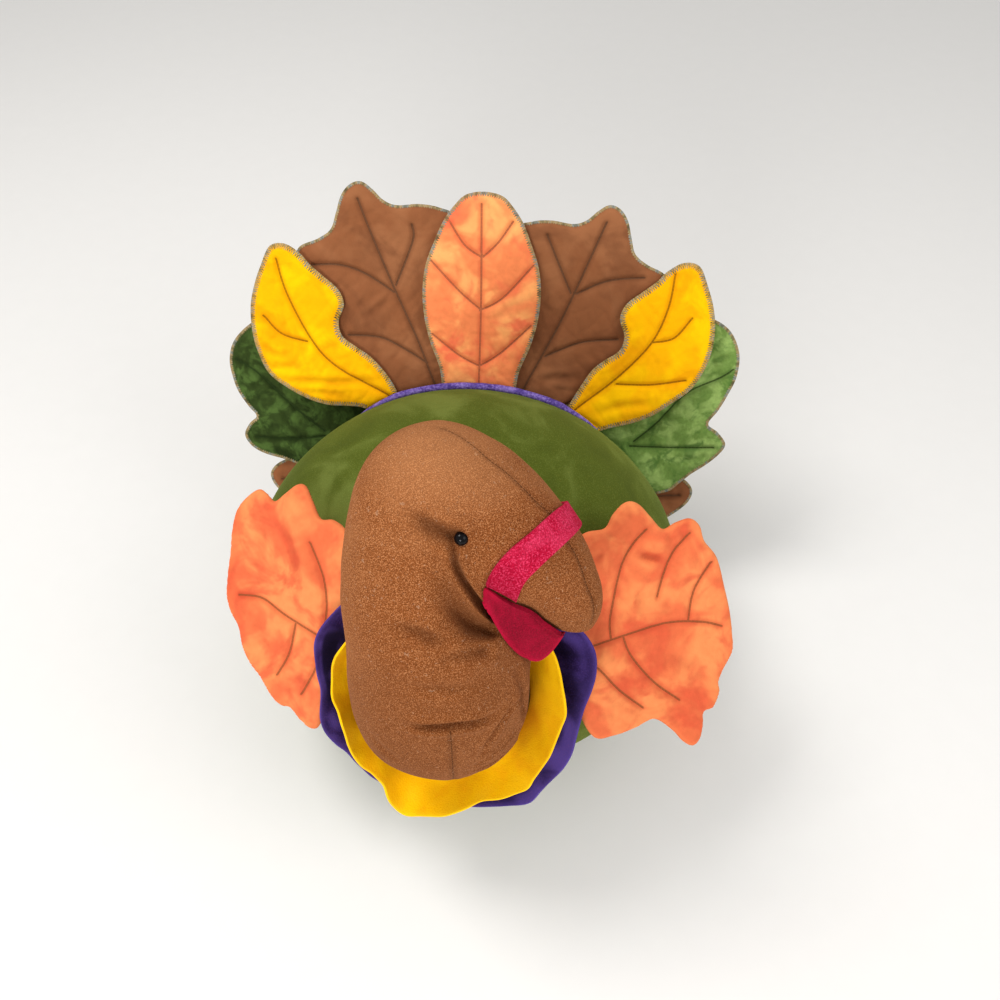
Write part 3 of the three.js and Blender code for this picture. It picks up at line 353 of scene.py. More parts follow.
RIGHT_WING_SHARES = [
    (-0.12, 0.13), (-0.12, 0.3), (-0.08, 0.39), (-0.03, 0.43), (0.03, 0.44), (0.08, 0.42),
    (0.13, 0.46), (0.18, 0.5), (0.215, 0.49), (0.25, 0.44), (0.285, 0.39), (0.325, 0.4),
    (0.365, 0.4), (0.41, 0.34), (0.43, 0.28), (0.425, 0.2), (0.405, 0.12), (0.39, 0.04),
    (0.365, -0.045), (0.325, -0.095), (0.275, -0.13), (0.235, -0.19), (0.18, -0.235),
    (0.12, -0.26), (0.055, -0.3), (0, -0.315), (-0.045, -0.3), (-0.1, -0.32), (-0.155, -0.325),
    (-0.18, -0.29), (-0.16, -0.18), (-0.13, -0.06),
]
RIGHT_WING_VEINS = [
    [(-0.1, 0.02), (-0.053, 0.017), (0.098, 0.018), (0.211, 0.028), (0.305, -0.008)],
    [(-0.08, 0.02), (-0.057, 0.131), (-0.004, 0.231), (0.085, 0.317)],
    [(0.045, 0.014), (0.031, -0.106), (0.05, -0.205)],
    [(-0.08, 0), (-0.092, -0.103), (-0.074, -0.215)],
]


def cloth_colour(written):
    """A colour written as six hex digits, as the linear values that Blender's colours hold."""
    parts = [int(written[i:i + 2], 16) / 255 for i in (0, 2, 4)]
    return tuple(p / 12.92 if p <= 0.04045 else ((p + 0.055) / 1.055) ** 2.4 for p in parts)


def length_property(name, description, default):
    return bpy.props.FloatProperty(
        name=name, description=description, default=default, min=0, subtype="DISTANCE", unit="LENGTH"
    )


def colour_property(name, description, written):
    return bpy.props.FloatVectorProperty(
        name=name, description=description, default=cloth_colour(written), size=3, min=0, max=1, subtype="COLOR"
    )


class TurkeySizes(bpy.types.PropertyGroup):
    """Sizes of the turkey's pieces"""

    body_width: length_property(
        "Body Width", "Width of the velour body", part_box("body_cover_front")[1].x * 2)
    body_depth: length_property(
        "Body Depth", "Depth of the velour body, front to back", 250 * MM)
    body_height: length_property(
        "Body Height", "Height of the body's crown above the table", 192 * MM)
    widest_height: length_property(
        "Widest Height", "Height at which the body is widest", 85 * MM)
    belly_drop: length_property(
        "Belly Drop", "How far the belly's curve reaches below the widest height", 93 * MM)
    neck_width: length_property(
        "Neck Width", "Width of the fleece neck at its root", 90 * MM)
    head_length: length_property(
        "Head Length", "Reach of the head from the throat", 100 * MM)
    head_width: length_property(
        "Head Width", "Width of the head from cheek to cheek", 86 * MM)
    eye_diameter: length_property(
        "Eye Diameter", "Diameter of each bead eye", 6.4 * MM)
    fan_height: length_property(
        "Fan Height", "Height of the tail's middle leaf", 133 * MM)
    wing_span: length_property(
        "Wing Span", "Length that the wings' outlines are shares of", 150 * MM)
    leaf_thickness: length_property(
        "Leaf Thickness", "Full thickness of a quilted leaf", 5 * MM)
    collar_thickness: length_property(
        "Collar Thickness", "Thickness of the collars' cloth", 2.2 * MM)
    strip_thickness: length_property(
        "Strip Thickness", "Thickness of the red fleece", 2.2 * MM)
    quilt_pitch: length_property(
        "Quilt Pitch", "Spacing of the vertices of a quilted leaf", 1.15 * MM)


class TurkeyColours(bpy.types.PropertyGroup):
    """Colours of the turkey's cloths"""

    velour: colour_property("Velour", "Body velour", "4d5918")
    fleece: colour_property("Fleece", "Neck and head fleece", "864a21")
    orange: colour_property("Orange Leaf", "Orange quilted cotton", "ec8450")
    wing: colour_property("Orange Wing", "Orange turned cotton of the wings", "dd6b42")
    brown: colour_property("Brown Leaf", "Brown quilted cotton", "8a5535")
    yellow: colour_property("Yellow Leaf", "Golden quilted cotton", "fab200")
    green_left: colour_property("Left Green Leaf", "Green cotton of the turkey's left side", "6c8a42")
    green_right: colour_property("Right Green Leaf", "Green cotton of the turkey's right side", "303f1a")
    purple: colour_property("Purple", "Purple cloth of the collar and the welt", "261445")
    collar_yellow: colour_property("Collar Yellow", "Yellow cloth of the collar", "ffc600")
    red: colour_property("Red Fleece", "Strip over the beak and wattle", "b80c35")


def sizes():
    return bpy.context.scene.turkey_sizes


def colours():
    return bpy.context.scene.turkey_colours


# ---------------------------------------------------------------- shapes that several pieces share


def curve_between(a, b, c, d, t):
    """The point at part t of the way from b to c, on a smooth curve through a, b, c and d."""
    return b + (t * (c - a + t * (2 * a - 5 * b + 4 * c - d + t * (3 * b - 3 * c + d - a)))) / 2


def body_radii(height, gap):
    rise = sizes().body_height - sizes().widest_height if height > sizes().widest_height else sizes().belly_drop
    return Vector((sizes().body_width / 2 + gap, sizes().body_depth / 2 + gap, rise + gap))


def outside_body(point, gap=0.0):
    """Above nought where a point is outside the body's surface."""
    radii = body_radii(point.z, gap)
    height = point.z - sizes().widest_height
    return (point.x / radii.x) ** 2 + (point.y / radii.y) ** 2 + (height / radii.z) ** 2 - 1


def drop_to_body(point, direction):
    """How far a point lies from the body's surface along a direction."""
    radii = body_radii(point.z, 0)
    start = Vector((point.x / radii.x, point.y / radii.y, (point.z - sizes().widest_height) / radii.z))
    along = Vector((direction.x / radii.x, direction.y / radii.y, direction.z / radii.z))
    a, b, c = along.dot(along), start.dot(along), start.dot(start) - 1
    return (-b - math.sqrt(max(0, b * b - a * c))) / a


def body_front(side, height):
    radii = body_radii(height, 0)
    level = 1 - (side / radii.x) ** 2 - ((height - sizes().widest_height) / radii.z) ** 2
    return Vector((side, -radii.y * math.sqrt(level), height))


def neck_root():
    return body_front(0, NECK_ROOT_HEIGHT)


def chest_drop(radius, angle):
    """How far the chest lies below the plane that touches it at the neck's root."""
    flat = neck_root() + CHEST_DOWN * radius * math.cos(angle) + Vector((radius * math.sin(angle), 0, 0))
    return drop_to_body(flat, -CHEST_OUT)


def placed_frame(origin, across, up):
    out = across.cross(up)
    matrix = Matrix((across, up, out)).transposed().to_4x4()
    matrix.translation = origin
    return matrix


def soft_lumps(point, size, seed):
    """Slow unevenness of stuffed cloth, from -1 to 1."""
    return noise.noise(point / size + Vector((seed, seed * 2.3, 0)))


def finish_piece(name, bm, material):
    """Turns a bmesh into a smooth shaded object at the origin with one material."""
    mesh = bpy.data.meshes.new(name)
    bm.to_mesh(mesh)
    bm.free()
    mesh.polygons.foreach_set("use_smooth", [True] * len(mesh.polygons))
    mesh.materials.append(material)
    piece = bpy.data.objects.new(name, mesh)
    bpy.context.scene.collection.objects.link(piece)
    return piece


def thicken(piece, thickness, roundness):
    """Gives a sheet its thickness, with softened cut edges."""
    skin = piece.modifiers.new("Thickness", "SOLIDIFY")
    skin.thickness = thickness
    skin.offset = 0
    edge = piece.modifiers.new("Cut Edge", "BEVEL")
    edge.width = thickness * roundness
    edge.segments = 3
    edge.limit_method = "ANGLE"
    edge.angle_limit = math.radians(50)


def distance_to_line(points, line, closed=False, counted=None):
    """For each point, its distance to a line of straight runs, how far along the line it is, and its side."""
    starts = line if closed else line[:-1]
    ends = np.roll(line, -1, 0) if closed else line[1:]
    runs = ends - starts
    lengths = np.linalg.norm(runs, axis=1)
    travelled = np.concatenate([[0], np.cumsum(lengths)[:-1]])
    to_points = points[:, None, :] - starts[None]
    part = np.clip((to_points * runs).sum(2) / np.maximum(lengths ** 2, 1e-18), 0, 1)
    gaps = np.linalg.norm(to_points - part[:, :, None] * runs, axis=2)
    if counted is not None:
        gaps = np.where(counted[None], gaps, 1)
    nearest = gaps.argmin(1)
    rows = np.arange(len(points))
    side = (runs[:, 0] * to_points[:, :, 1] - runs[:, 1] * to_points[:, :, 0]) / np.maximum(lengths, 1e-9)
    along = travelled[nearest] + part[rows, nearest] * lengths[nearest]
    return gaps[rows, nearest], along, side[rows, nearest]


def beside_on_skin(points, normals, line):
    """For points of a skin, their distance to a line on it, how far along the line, and the distance across it."""
    gap, along, _ = distance_to_line(points, line)
    travelled = np.concatenate([[0], np.cumsum(np.linalg.norm(np.diff(line, axis=0), axis=1))])

    def at(length):
        return np.stack([np.interp(length, travelled, line[:, k]) for k in range(3)], 1)

    across = np.cross(normals, at(along + 0.5 * MM) - at(along - 0.5 * MM))
    across /= np.maximum(np.linalg.norm(across, axis=1), 1e-9)[:, None]
    return gap, along, ((points - at(along)) * across).sum(1)


def evenly(line, step, closed=False):
    """The same line with its points a step apart."""
    line = np.asarray(line, float)
    if closed:
        line = np.vstack([line, line[:1]])
    lengths = np.linalg.norm(np.diff(line, axis=0), axis=1)
    travelled = np.concatenate([[0], np.cumsum(lengths)])
    count = max(3, round(travelled[-1] / step))
    at = np.linspace(0, travelled[-1], count + 1)
    points = np.stack([np.interp(at, travelled, line[:, k]) for k in range(line.shape[1])], 1)
    return points[:-1] if closed else points


def smooth_line(points, closed=False, steps=8):
    points = [Vector(p) for p in points]
    count = len(points)
    line = []
    for i in range(count if closed else count - 1):
        picks = [i - 1, i, i + 1, i + 2]
        picks = [k % count for k in picks] if closed else [min(count - 1, max(0, k)) for k in picks]
        a, b, c, d = [points[k] for k in picks]
        line += [tuple(curve_between(a, b, c, d, s / steps)) for s in range(steps)]
    if not closed:
        line.append(tuple(points[-1]))
    return line


# ---------------------------------------------------------------- node groups for cloth


def node_group(name, inputs, outputs):
    group = bpy.data.node_groups.new(name, "ShaderNodeTree")
    for label, kind, default in inputs:
        socket = group.interface.new_socket(name=label, in_out="INPUT", socket_type=kind)
        socket.default_value = default
    for label, kind in outputs:
        group.interface.new_socket(name=label, in_out="OUTPUT", socket_type=kind)
    return group, group.nodes.new("NodeGroupInput"), group.nodes.new("NodeGroupOutput")


class Wiring:
    """Short calls for adding nodes to a tree and joining them."""

    def __init__(self, tree):
        self.tree = tree

    def node(self, kind, **settings):
        node = self.tree.nodes.new(kind)
        for name, value in settings.items():
            setattr(node, name, value)
        return node

    def put(self, socket, value):
        if isinstance(value, bpy.types.NodeSocket):
            self.tree.links.new(value, socket)
        else:
            socket.default_value = value

    def math(self, operation, first, second=None, third=None):
        node = self.node("ShaderNodeMath", operation=operation)
        for socket, value in zip(node.inputs, (first, second, third)):
            if value is not None:
                self.put(socket, value)
        return node.outputs[0]

    def smoothstep(self, value, low, high):
        node = self.node("ShaderNodeMapRange", interpolation_type="SMOOTHSTEP")
        self.put(node.inputs["Value"], value)
        self.put(node.inputs["From Min"], low)
        self.put(node.inputs["From Max"], high)
        return node.outputs["Result"]

    def noise(self, vector, scale, detail=2.0, roughness=0.5, distortion=0.0):
        node = self.node("ShaderNodeTexNoise")
        if vector is not None:
            self.put(node.inputs["Vector"], vector)
        self.put(node.inputs["Scale"], scale)
        self.put(node.inputs["Detail"], detail)
        self.put(node.inputs["Roughness"], roughness)
        self.put(node.inputs["Distortion"], distortion)
        return node.outputs["Fac"]

    def mix(self, factor, first, second, blend="MIX"):
        node = self.node("ShaderNodeMix", data_type="RGBA", blend_type=blend)
        self.put(node.inputs[0], factor)
        self.put(node.inputs[6], first)
        self.put(node.inputs[7], second)
        return node.outputs[2]

    def group(self, group, **values):
        node = self.node("ShaderNodeGroup", node_tree=group)
        for label, value in values.items():
            self.put(node.inputs[label.replace("_", " ")], value)
        return node.outputs


def nap_group():
    """Short fibres of fleece or velour: tufts in three tones, brushed patches, a few stray fibres, a height."""
    name = "Cloth Nap"
    if name in bpy.data.node_groups:
        return bpy.data.node_groups[name]
    group, start, end = node_group(
        name,
        [("Colour", "NodeSocketColor", (0.5, 0.5, 0.5, 1)), ("Light", "NodeSocketColor", (0.7, 0.7, 0.7, 1)),
         ("Deep", "NodeSocketColor", (0.3, 0.3, 0.3, 1)), ("Tuft Scale", "NodeSocketFloat", 1200),
         ("Tufts", "NodeSocketFloat", 0.5), ("Patch Scale", "NodeSocketFloat", 20),
         ("Patches", "NodeSocketFloat", 0.2), ("Strays", "NodeSocketFloat", 0.0)],
        [("Colour", "NodeSocketColor"), ("Height", "NodeSocketFloat")],
    )
    w = Wiring(group)
    place = w.node("ShaderNodeTexCoord").outputs["Object"]
    tuft = w.noise(place, start.outputs["Tuft Scale"], 1.0, 0.6, 0.2)
    patch = w.noise(place, start.outputs["Patch Scale"], 3.0, 0.55, 0.8)
    lit = w.math("MULTIPLY", w.smoothstep(tuft, 0.5, 0.68), start.outputs["Tufts"])
    sunk = w.math("MULTIPLY", w.smoothstep(tuft, 0.5, 0.34), start.outputs["Tufts"])
    colour = w.mix(lit, start.outputs["Colour"], start.outputs["Light"])
    colour = w.mix(sunk, colour, start.outputs["Deep"])
    brushed = w.math("MULTIPLY", w.smoothstep(patch, 0.48, 0.68), start.outputs["Patches"])
    rubbed = w.math("MULTIPLY", w.smoothstep(patch, 0.5, 0.32), start.outputs["Patches"])
    colour = w.mix(brushed, colour, start.outputs["Light"])
    colour = w.mix(rubbed, colour, start.outputs["Deep"])
    stray = w.noise(place, 620.0, 0.0, 0.5, 1.2)
    stray = w.math("MULTIPLY", w.smoothstep(stray, 0.765, 0.8), start.outputs["Strays"])
    colour = w.mix(stray, colour, (0.6, 0.42, 0.28, 1))
    w.put(end.inputs["Colour"], colour)
    w.put(end.inputs["Height"], tuft)
    return group


def blotch_group():
    """Hand-dyed cotton: three tones that run into each other."""
    name = "Dyed Blotches"
    if name in bpy.data.node_groups:
        return bpy.data.node_groups[name]
    group, start, end = node_group(
        name,
        [("Base", "NodeSocketColor", (0.5, 0.5, 0.5, 1)), ("Light", "NodeSocketColor", (0.6, 0.6, 0.6, 1)),
         ("Deep", "NodeSocketColor", (0.3, 0.3, 0.3, 1)), ("Scale", "NodeSocketFloat", 45),
         ("Strength", "NodeSocketFloat", 0.8), ("Mottle", "NodeSocketFloat", 0.4)],
        [("Colour", "NodeSocketColor")],
    )
    w = Wiring(group)
    place = w.node("ShaderNodeTexCoord").outputs["Object"]
    broad = w.noise(place, start.outputs["Scale"], 3.0, 0.55, 0.5)
    moved = w.node("ShaderNodeVectorMath", operation="ADD")
    w.put(moved.inputs[0], place)
    moved.inputs[1].default_value = (0.37, 0.11, 0.53)
    other = w.noise(moved.outputs[0], start.outputs["Scale"], 3.5, 0.6, 0.7)
    small = w.noise(place, w.math("MULTIPLY", start.outputs["Scale"], 6.0), 3.0, 0.6)
    light = w.math("MULTIPLY", w.smoothstep(broad, 0.42, 0.62), start.outputs["Strength"])
    deep = w.math("MULTIPLY", w.smoothstep(other, 0.48, 0.66), start.outputs["Strength"])
    colour = w.mix(light, start.outputs["Base"], start.outputs["Light"])
    colour = w.mix(deep, colour, start.outputs["Deep"])
    value = w.math("ADD", 1.0, w.math("MULTIPLY", w.math("SUBTRACT", small, 0.5), start.outputs["Mottle"]))
    shade = w.node("ShaderNodeHueSaturation")
    w.put(shade.inputs["Color"], colour)
    w.put(shade.inputs["Value"], value)
    w.put(end.inputs["Colour"], shade.outputs["Color"])
    return group


def weave_group():
    """Plain weave on the piece's own flat cut: the height of its threads."""
    name = "Cotton Weave"
    if name in bpy.data.node_groups:
        return bpy.data.node_groups[name]
    group, start, end = node_group(
        name,
        [("Vector", "NodeSocketVector", (0, 0, 0)), ("Threads", "NodeSocketFloat", 1400)],
        [("Height", "NodeSocketFloat")],
    )
    w = Wiring(group)
    parts = w.node("ShaderNodeSeparateXYZ")
    w.put(parts.inputs[0], start.outputs["Vector"])
    warp = w.math("SINE", w.math("MULTIPLY", parts.outputs[0], w.math("MULTIPLY", start.outputs["Threads"], 3.1416)))
    weft = w.math("SINE", w.math("MULTIPLY", parts.outputs[1], w.math("MULTIPLY", start.outputs["Threads"], 3.1416)))
    w.put(end.inputs["Height"], w.math("MULTIPLY", w.math("MULTIPLY", warp, weft), 0.5))
    return group


def zigzag_group():
    """Zigzag sewing in variegated thread along a leaf's edge, from the distances that the leaf holds."""
    name = "Zigzag Edge"
    if name in bpy.data.node_groups:
        return bpy.data.node_groups[name]
    group, start, end = node_group(
        name,
        [("Edge", "NodeSocketFloat", 0), ("Run", "NodeSocketFloat", 0), ("Width", "NodeSocketFloat", 3.6),
         ("Pitch", "NodeSocketFloat", 1.5)],
        [("Mask", "NodeSocketFloat"), ("Colour", "NodeSocketColor"), ("Height", "NodeSocketFloat")],
    )
    w = Wiring(group)
    edge, run, pitch = start.outputs["Edge"], start.outputs["Run"], start.outputs["Pitch"]
    place = w.node("ShaderNodeCombineXYZ")
    w.put(place.inputs[0], run)
    w.put(place.inputs[1], w.math("MULTIPLY", edge, 0.3))
    wander = w.noise(place.outputs[0], 0.9, 1.0)
    wandered = w.math("ADD", run, w.math("MULTIPLY", wander, 1.1))
    swing = w.math("PINGPONG", w.math("DIVIDE", wandered, pitch), 0.5)
    across = w.math("MULTIPLY", w.math("MULTIPLY", swing, 2.0), start.outputs["Width"])
    off_thread = w.math("ABSOLUTE", w.math("SUBTRACT", edge, across))
    thread = w.math("SUBTRACT", 1.0, w.smoothstep(off_thread, 0.55, 1.25))
    reach = w.math("SUBTRACT", 1.0, w.smoothstep(edge, w.math("SUBTRACT", start.outputs["Width"], 0.2),
                                                 w.math("ADD", start.outputs["Width"], 0.7)))
    rim = w.math("SUBTRACT", 1.0, w.smoothstep(edge, 0.5, 1.5))
    mask = w.math("MINIMUM", 1.0, w.math("ADD", w.math("MULTIPLY", thread, reach), w.math("MULTIPLY", rim, 0.8)))
    tone = w.noise(place.outputs[0], 0.16, 2.0, 0.6)
    ramp = w.node("ShaderNodeValToRGB")
    w.put(ramp.inputs["Fac"], tone)
    stops = [(0.3, "4c4030"), (0.42, "7d7352"), (0.5, "a89066"), (0.58, "8b8f86"), (0.7, "5d5a45")]
    ramp.color_ramp.elements[0].position = stops[0][0]
    ramp.color_ramp.elements[0].color = (*cloth_colour(stops[0][1]), 1)
    ramp.color_ramp.elements[1].position = stops[-1][0]
    ramp.color_ramp.elements[1].color = (*cloth_colour(stops[-1][1]), 1)
    for position, written in stops[1:-1]:
        ramp.color_ramp.elements.new(position).color = (*cloth_colour(written), 1)
    w.put(end.inputs["Mask"], mask)
    w.put(end.inputs["Colour"], ramp.outputs["Color"])
    w.put(end.inputs["Height"], w.math("MULTIPLY", thread, reach))
    return group


def vein_group():
    """Machine stitches along a leaf's veins: a mask for the thread and one for painted shade on the sunk cloth beside
    it.
    """
    name = "Stitched Veins"
    if name in bpy.data.node_groups:
        return bpy.data.node_groups[name]
    group, start, end = node_group(
        name,
        [("Vein", "NodeSocketFloat", 0), ("Beside", "NodeSocketFloat", 0), ("Stitch", "NodeSocketFloat", 0),
         ("Length", "NodeSocketFloat", 2.4)],
        [("Thread", "NodeSocketFloat"), ("Shade", "NodeSocketFloat"), ("Height", "NodeSocketFloat")],
    )
    w = Wiring(group)
    along = w.math("PINGPONG", w.math("DIVIDE", start.outputs["Stitch"], start.outputs["Length"]), 0.5)
    dash = w.math("ADD", 0.72, w.math("MULTIPLY", w.smoothstep(along, 0.03, 0.12), 0.28))
    off = w.math("ABSOLUTE", start.outputs["Beside"])
    near = w.math("SUBTRACT", 1.0, w.smoothstep(start.outputs["Vein"], 1.1, 1.9))
    near = w.math("MULTIPLY", near, w.smoothstep(start.outputs["Stitch"], 0.02, 0.5))
    line = w.math("MULTIPLY", near, w.math("SUBTRACT", 1.0, w.smoothstep(off, 0.3, 0.75)))
    w.put(end.inputs["Thread"], w.math("MULTIPLY", line, dash))
    w.put(end.inputs["Shade"], w.math("SUBTRACT", 1.0, w.smoothstep(start.outputs["Vein"], 0.4, 3.4)))
    w.put(end.inputs["Height"], w.math("SUBTRACT", 1.0, line))
    return group


# ---------------------------------------------------------------- materials


def new_material(name):
    material = bpy.data.materials.new(name)
    material.use_nodes = True
    w = Wiring(material.node_tree)
    return material, w, material.node_tree.nodes["Principled BSDF"]


def add_bump(w, shader, heights):
    """Joins bumps of (height, distance in metres, strength) one after another."""
    before = None
    for height, distance, strength in heights:
        bump = w.node("ShaderNodeBump")
        w.put(bump.inputs["Height"], height)
        bump.inputs["Distance"].default_value = distance
        bump.inputs["Strength"].default_value = strength
        if before is not None:
            w.put(bump.inputs["Normal"], before)
        before = bump.outputs["Normal"]
    w.put(shader.inputs["Normal"], before)


def solid_colour(colour):
    return (*colour, 1)


def scaled(colour, share):
    return tuple(min(1, c * share) for c in colour)


def nap_material(name, colour, light, deep, tuft_scale, tufts, patch_scale, patches, strays, relief, sheen):
    """Cloth with a nap: its seams, the painted shade and painted light that the piece holds for its hollows and lit
    parts, and a painted highlight along its cut rim.
    """
    material, w, shader = new_material(name)
    out = w.group(nap_group(), Colour=solid_colour(colour), Light=solid_colour(light), Deep=solid_colour(deep),
                  Tuft_Scale=tuft_scale, Tufts=tufts, Patch_Scale=patch_scale, Patches=patches, Strays=strays)
    facts = {}
    for label in ("painted_shade", "painted_light", "seam", "beside", "along", "rim"):
        facts[label] = w.node("ShaderNodeAttribute", attribute_name=label).outputs["Fac"]
    # Painted shade where the piece holds it, then painted light where the piece holds it
    toned = w.mix(facts["painted_shade"], out["Colour"], solid_colour(scaled(deep, 0.55)))
    toned = w.mix(facts["painted_light"], toned, solid_colour(light))
    dash = w.math("PINGPONG", facts["along"], 0.9)
    line = w.math("SUBTRACT", 1.0, w.smoothstep(w.math("ABSOLUTE", facts["beside"]), 0.12, 0.42))
    line = w.math("MULTIPLY", w.math("MULTIPLY", line, facts["seam"]), w.smoothstep(dash, 0.0, 0.4))
    soft = w.math("MULTIPLY", facts["seam"], 0.22)
    sewn = w.mix(w.math("MAXIMUM", soft, w.math("MULTIPLY", line, 0.85)), toned, solid_colour(scaled(deep, 0.3)))
    # Painted highlight along the cut rim
    rim_highlighted = w.mix(w.math("MULTIPLY", w.smoothstep(facts["rim"], 0.93, 1.0), 0.35), sewn, solid_colour(light))
    w.put(shader.inputs["Base Color"], rim_highlighted)
    shader.inputs["Roughness"].default_value = 0.95
    shader.inputs["Specular IOR Level"].default_value = 0.12
    shader.inputs["Sheen Weight"].default_value = sheen
    shader.inputs["Sheen Roughness"].default_value = 0.4
    shader.inputs["Sheen Tint"].default_value = solid_colour(light)
    add_bump(w, shader, [(out["Height"], relief, 0.8)])
    return material


def leaf_material(name, base, light, deep, scale, strength, mottle, border, thread):
    """Quilted cotton: dyed blotches, a zigzag edge where the leaf has one, stitched veins, painted shade and light for
    the folds and beside the veins, and a painted highlight along a turned edge.
    """
    material, w, shader = new_material(name)
    cloth = w.group(blotch_group(), Base=solid_colour(base), Light=solid_colour(light),
                    Deep=solid_colour(deep), Scale=scale, Strength=strength, Mottle=mottle)["Colour"]
    facts = {}
    for label in ("edge", "run", "mid_vein", "mid_stitch", "mid_beside", "branch_vein", "branch_stitch",
                  "branch_beside", "painted_shade", "painted_light"):
        facts[label] = w.node("ShaderNodeAttribute", attribute_name=label).outputs["Fac"]
    # Painted shade in the folds and painted light on their ridges
    cloth = w.mix(facts["painted_shade"], cloth, solid_colour(scaled(deep, 0.55)))
    cloth = w.mix(facts["painted_light"], cloth, solid_colour(light))
    place = w.node("ShaderNodeTexCoord").outputs["Object"]
    fuzz = w.noise(place, 1500.0, 2.0, 0.6)
    mid, branch = [w.group(vein_group(), Vein=facts[kind + "_vein"], Beside=facts[kind + "_beside"],
                           Stitch=facts[kind + "_stitch"]) for kind in ("mid", "branch")]
    # Painted shade on the sunk cloth beside the veins
    shade = w.math("MULTIPLY", w.math("MAXIMUM", mid["Shade"], branch["Shade"]), 0.4)
    shaded = w.mix(shade, cloth, solid_colour(scaled(deep, 0.8)))
    line = w.math("MULTIPLY", w.math("MAXIMUM", mid["Thread"], branch["Thread"]), 0.8)
    colour = w.mix(line, shaded, solid_colour(thread))
    heights = [(fuzz, 0.00025, 0.6), (w.math("MINIMUM", mid["Height"], branch["Height"]), 0.0005, 0.7)]
    if border:
        zigzag = w.group(zigzag_group(), Edge=facts["edge"], Run=facts["run"], Width=border)
        colour = w.mix(zigzag["Mask"], colour, zigzag["Colour"])
        heights.append((zigzag["Height"], 0.0005, 0.8))
    else:
        # Painted highlight along the wing's rounded turned edge
        turned = w.math("SUBTRACT", 1.0, w.smoothstep(facts["edge"], 0.6, 2.6))
        colour = w.mix(w.math("MULTIPLY", turned, 0.22), colour, solid_colour(scaled(light, 1.05)))
    w.put(shader.inputs["Base Color"], colour)
    shader.inputs["Roughness"].default_value = 0.93
    shader.inputs["Specular IOR Level"].default_value = 0.1
    add_bump(w, shader, heights)
    return material


def thread_material(name, colour):
    """Twisted sewing thread."""
    material, w, shader = new_material(name)
    place = w.node("ShaderNodeTexCoord").outputs["Object"]
    ply = w.node("ShaderNodeTexWave", bands_direction="DIAGONAL")
    w.put(ply.inputs["Vector"], place)
    ply.inputs["Scale"].default_value = 900
    w.put(shader.inputs["Base Color"], w.mix(ply.outputs["Fac"], solid_colour(scaled(colour, 0.6)), solid_colour(colour)))
    shader.inputs["Roughness"].default_value = 0.7
    add_bump(w, shader, [(ply.outputs["Fac"], 0.0001, 0.6)])
    return material


def bead_material():
    """Black glass bead with faint tool marks."""
    material, w, shader = new_material("Black Bead")
    place = w.node("ShaderNodeTexCoord").outputs["Object"]
    marks = w.noise(place, 700.0, 3.0)
    w.put(shader.inputs["Base Color"], w.mix(marks, (0.0015, 0.0015, 0.002, 1), (0.005, 0.004, 0.005, 1)))
    w.put(shader.inputs["Roughness"], w.math("ADD", 0.1, w.math("MULTIPLY", marks, 0.08)))
    shader.inputs["Specular IOR Level"].default_value = 0.14
    add_bump(w, shader, [(marks, 0.00004, 0.2)])
    return material


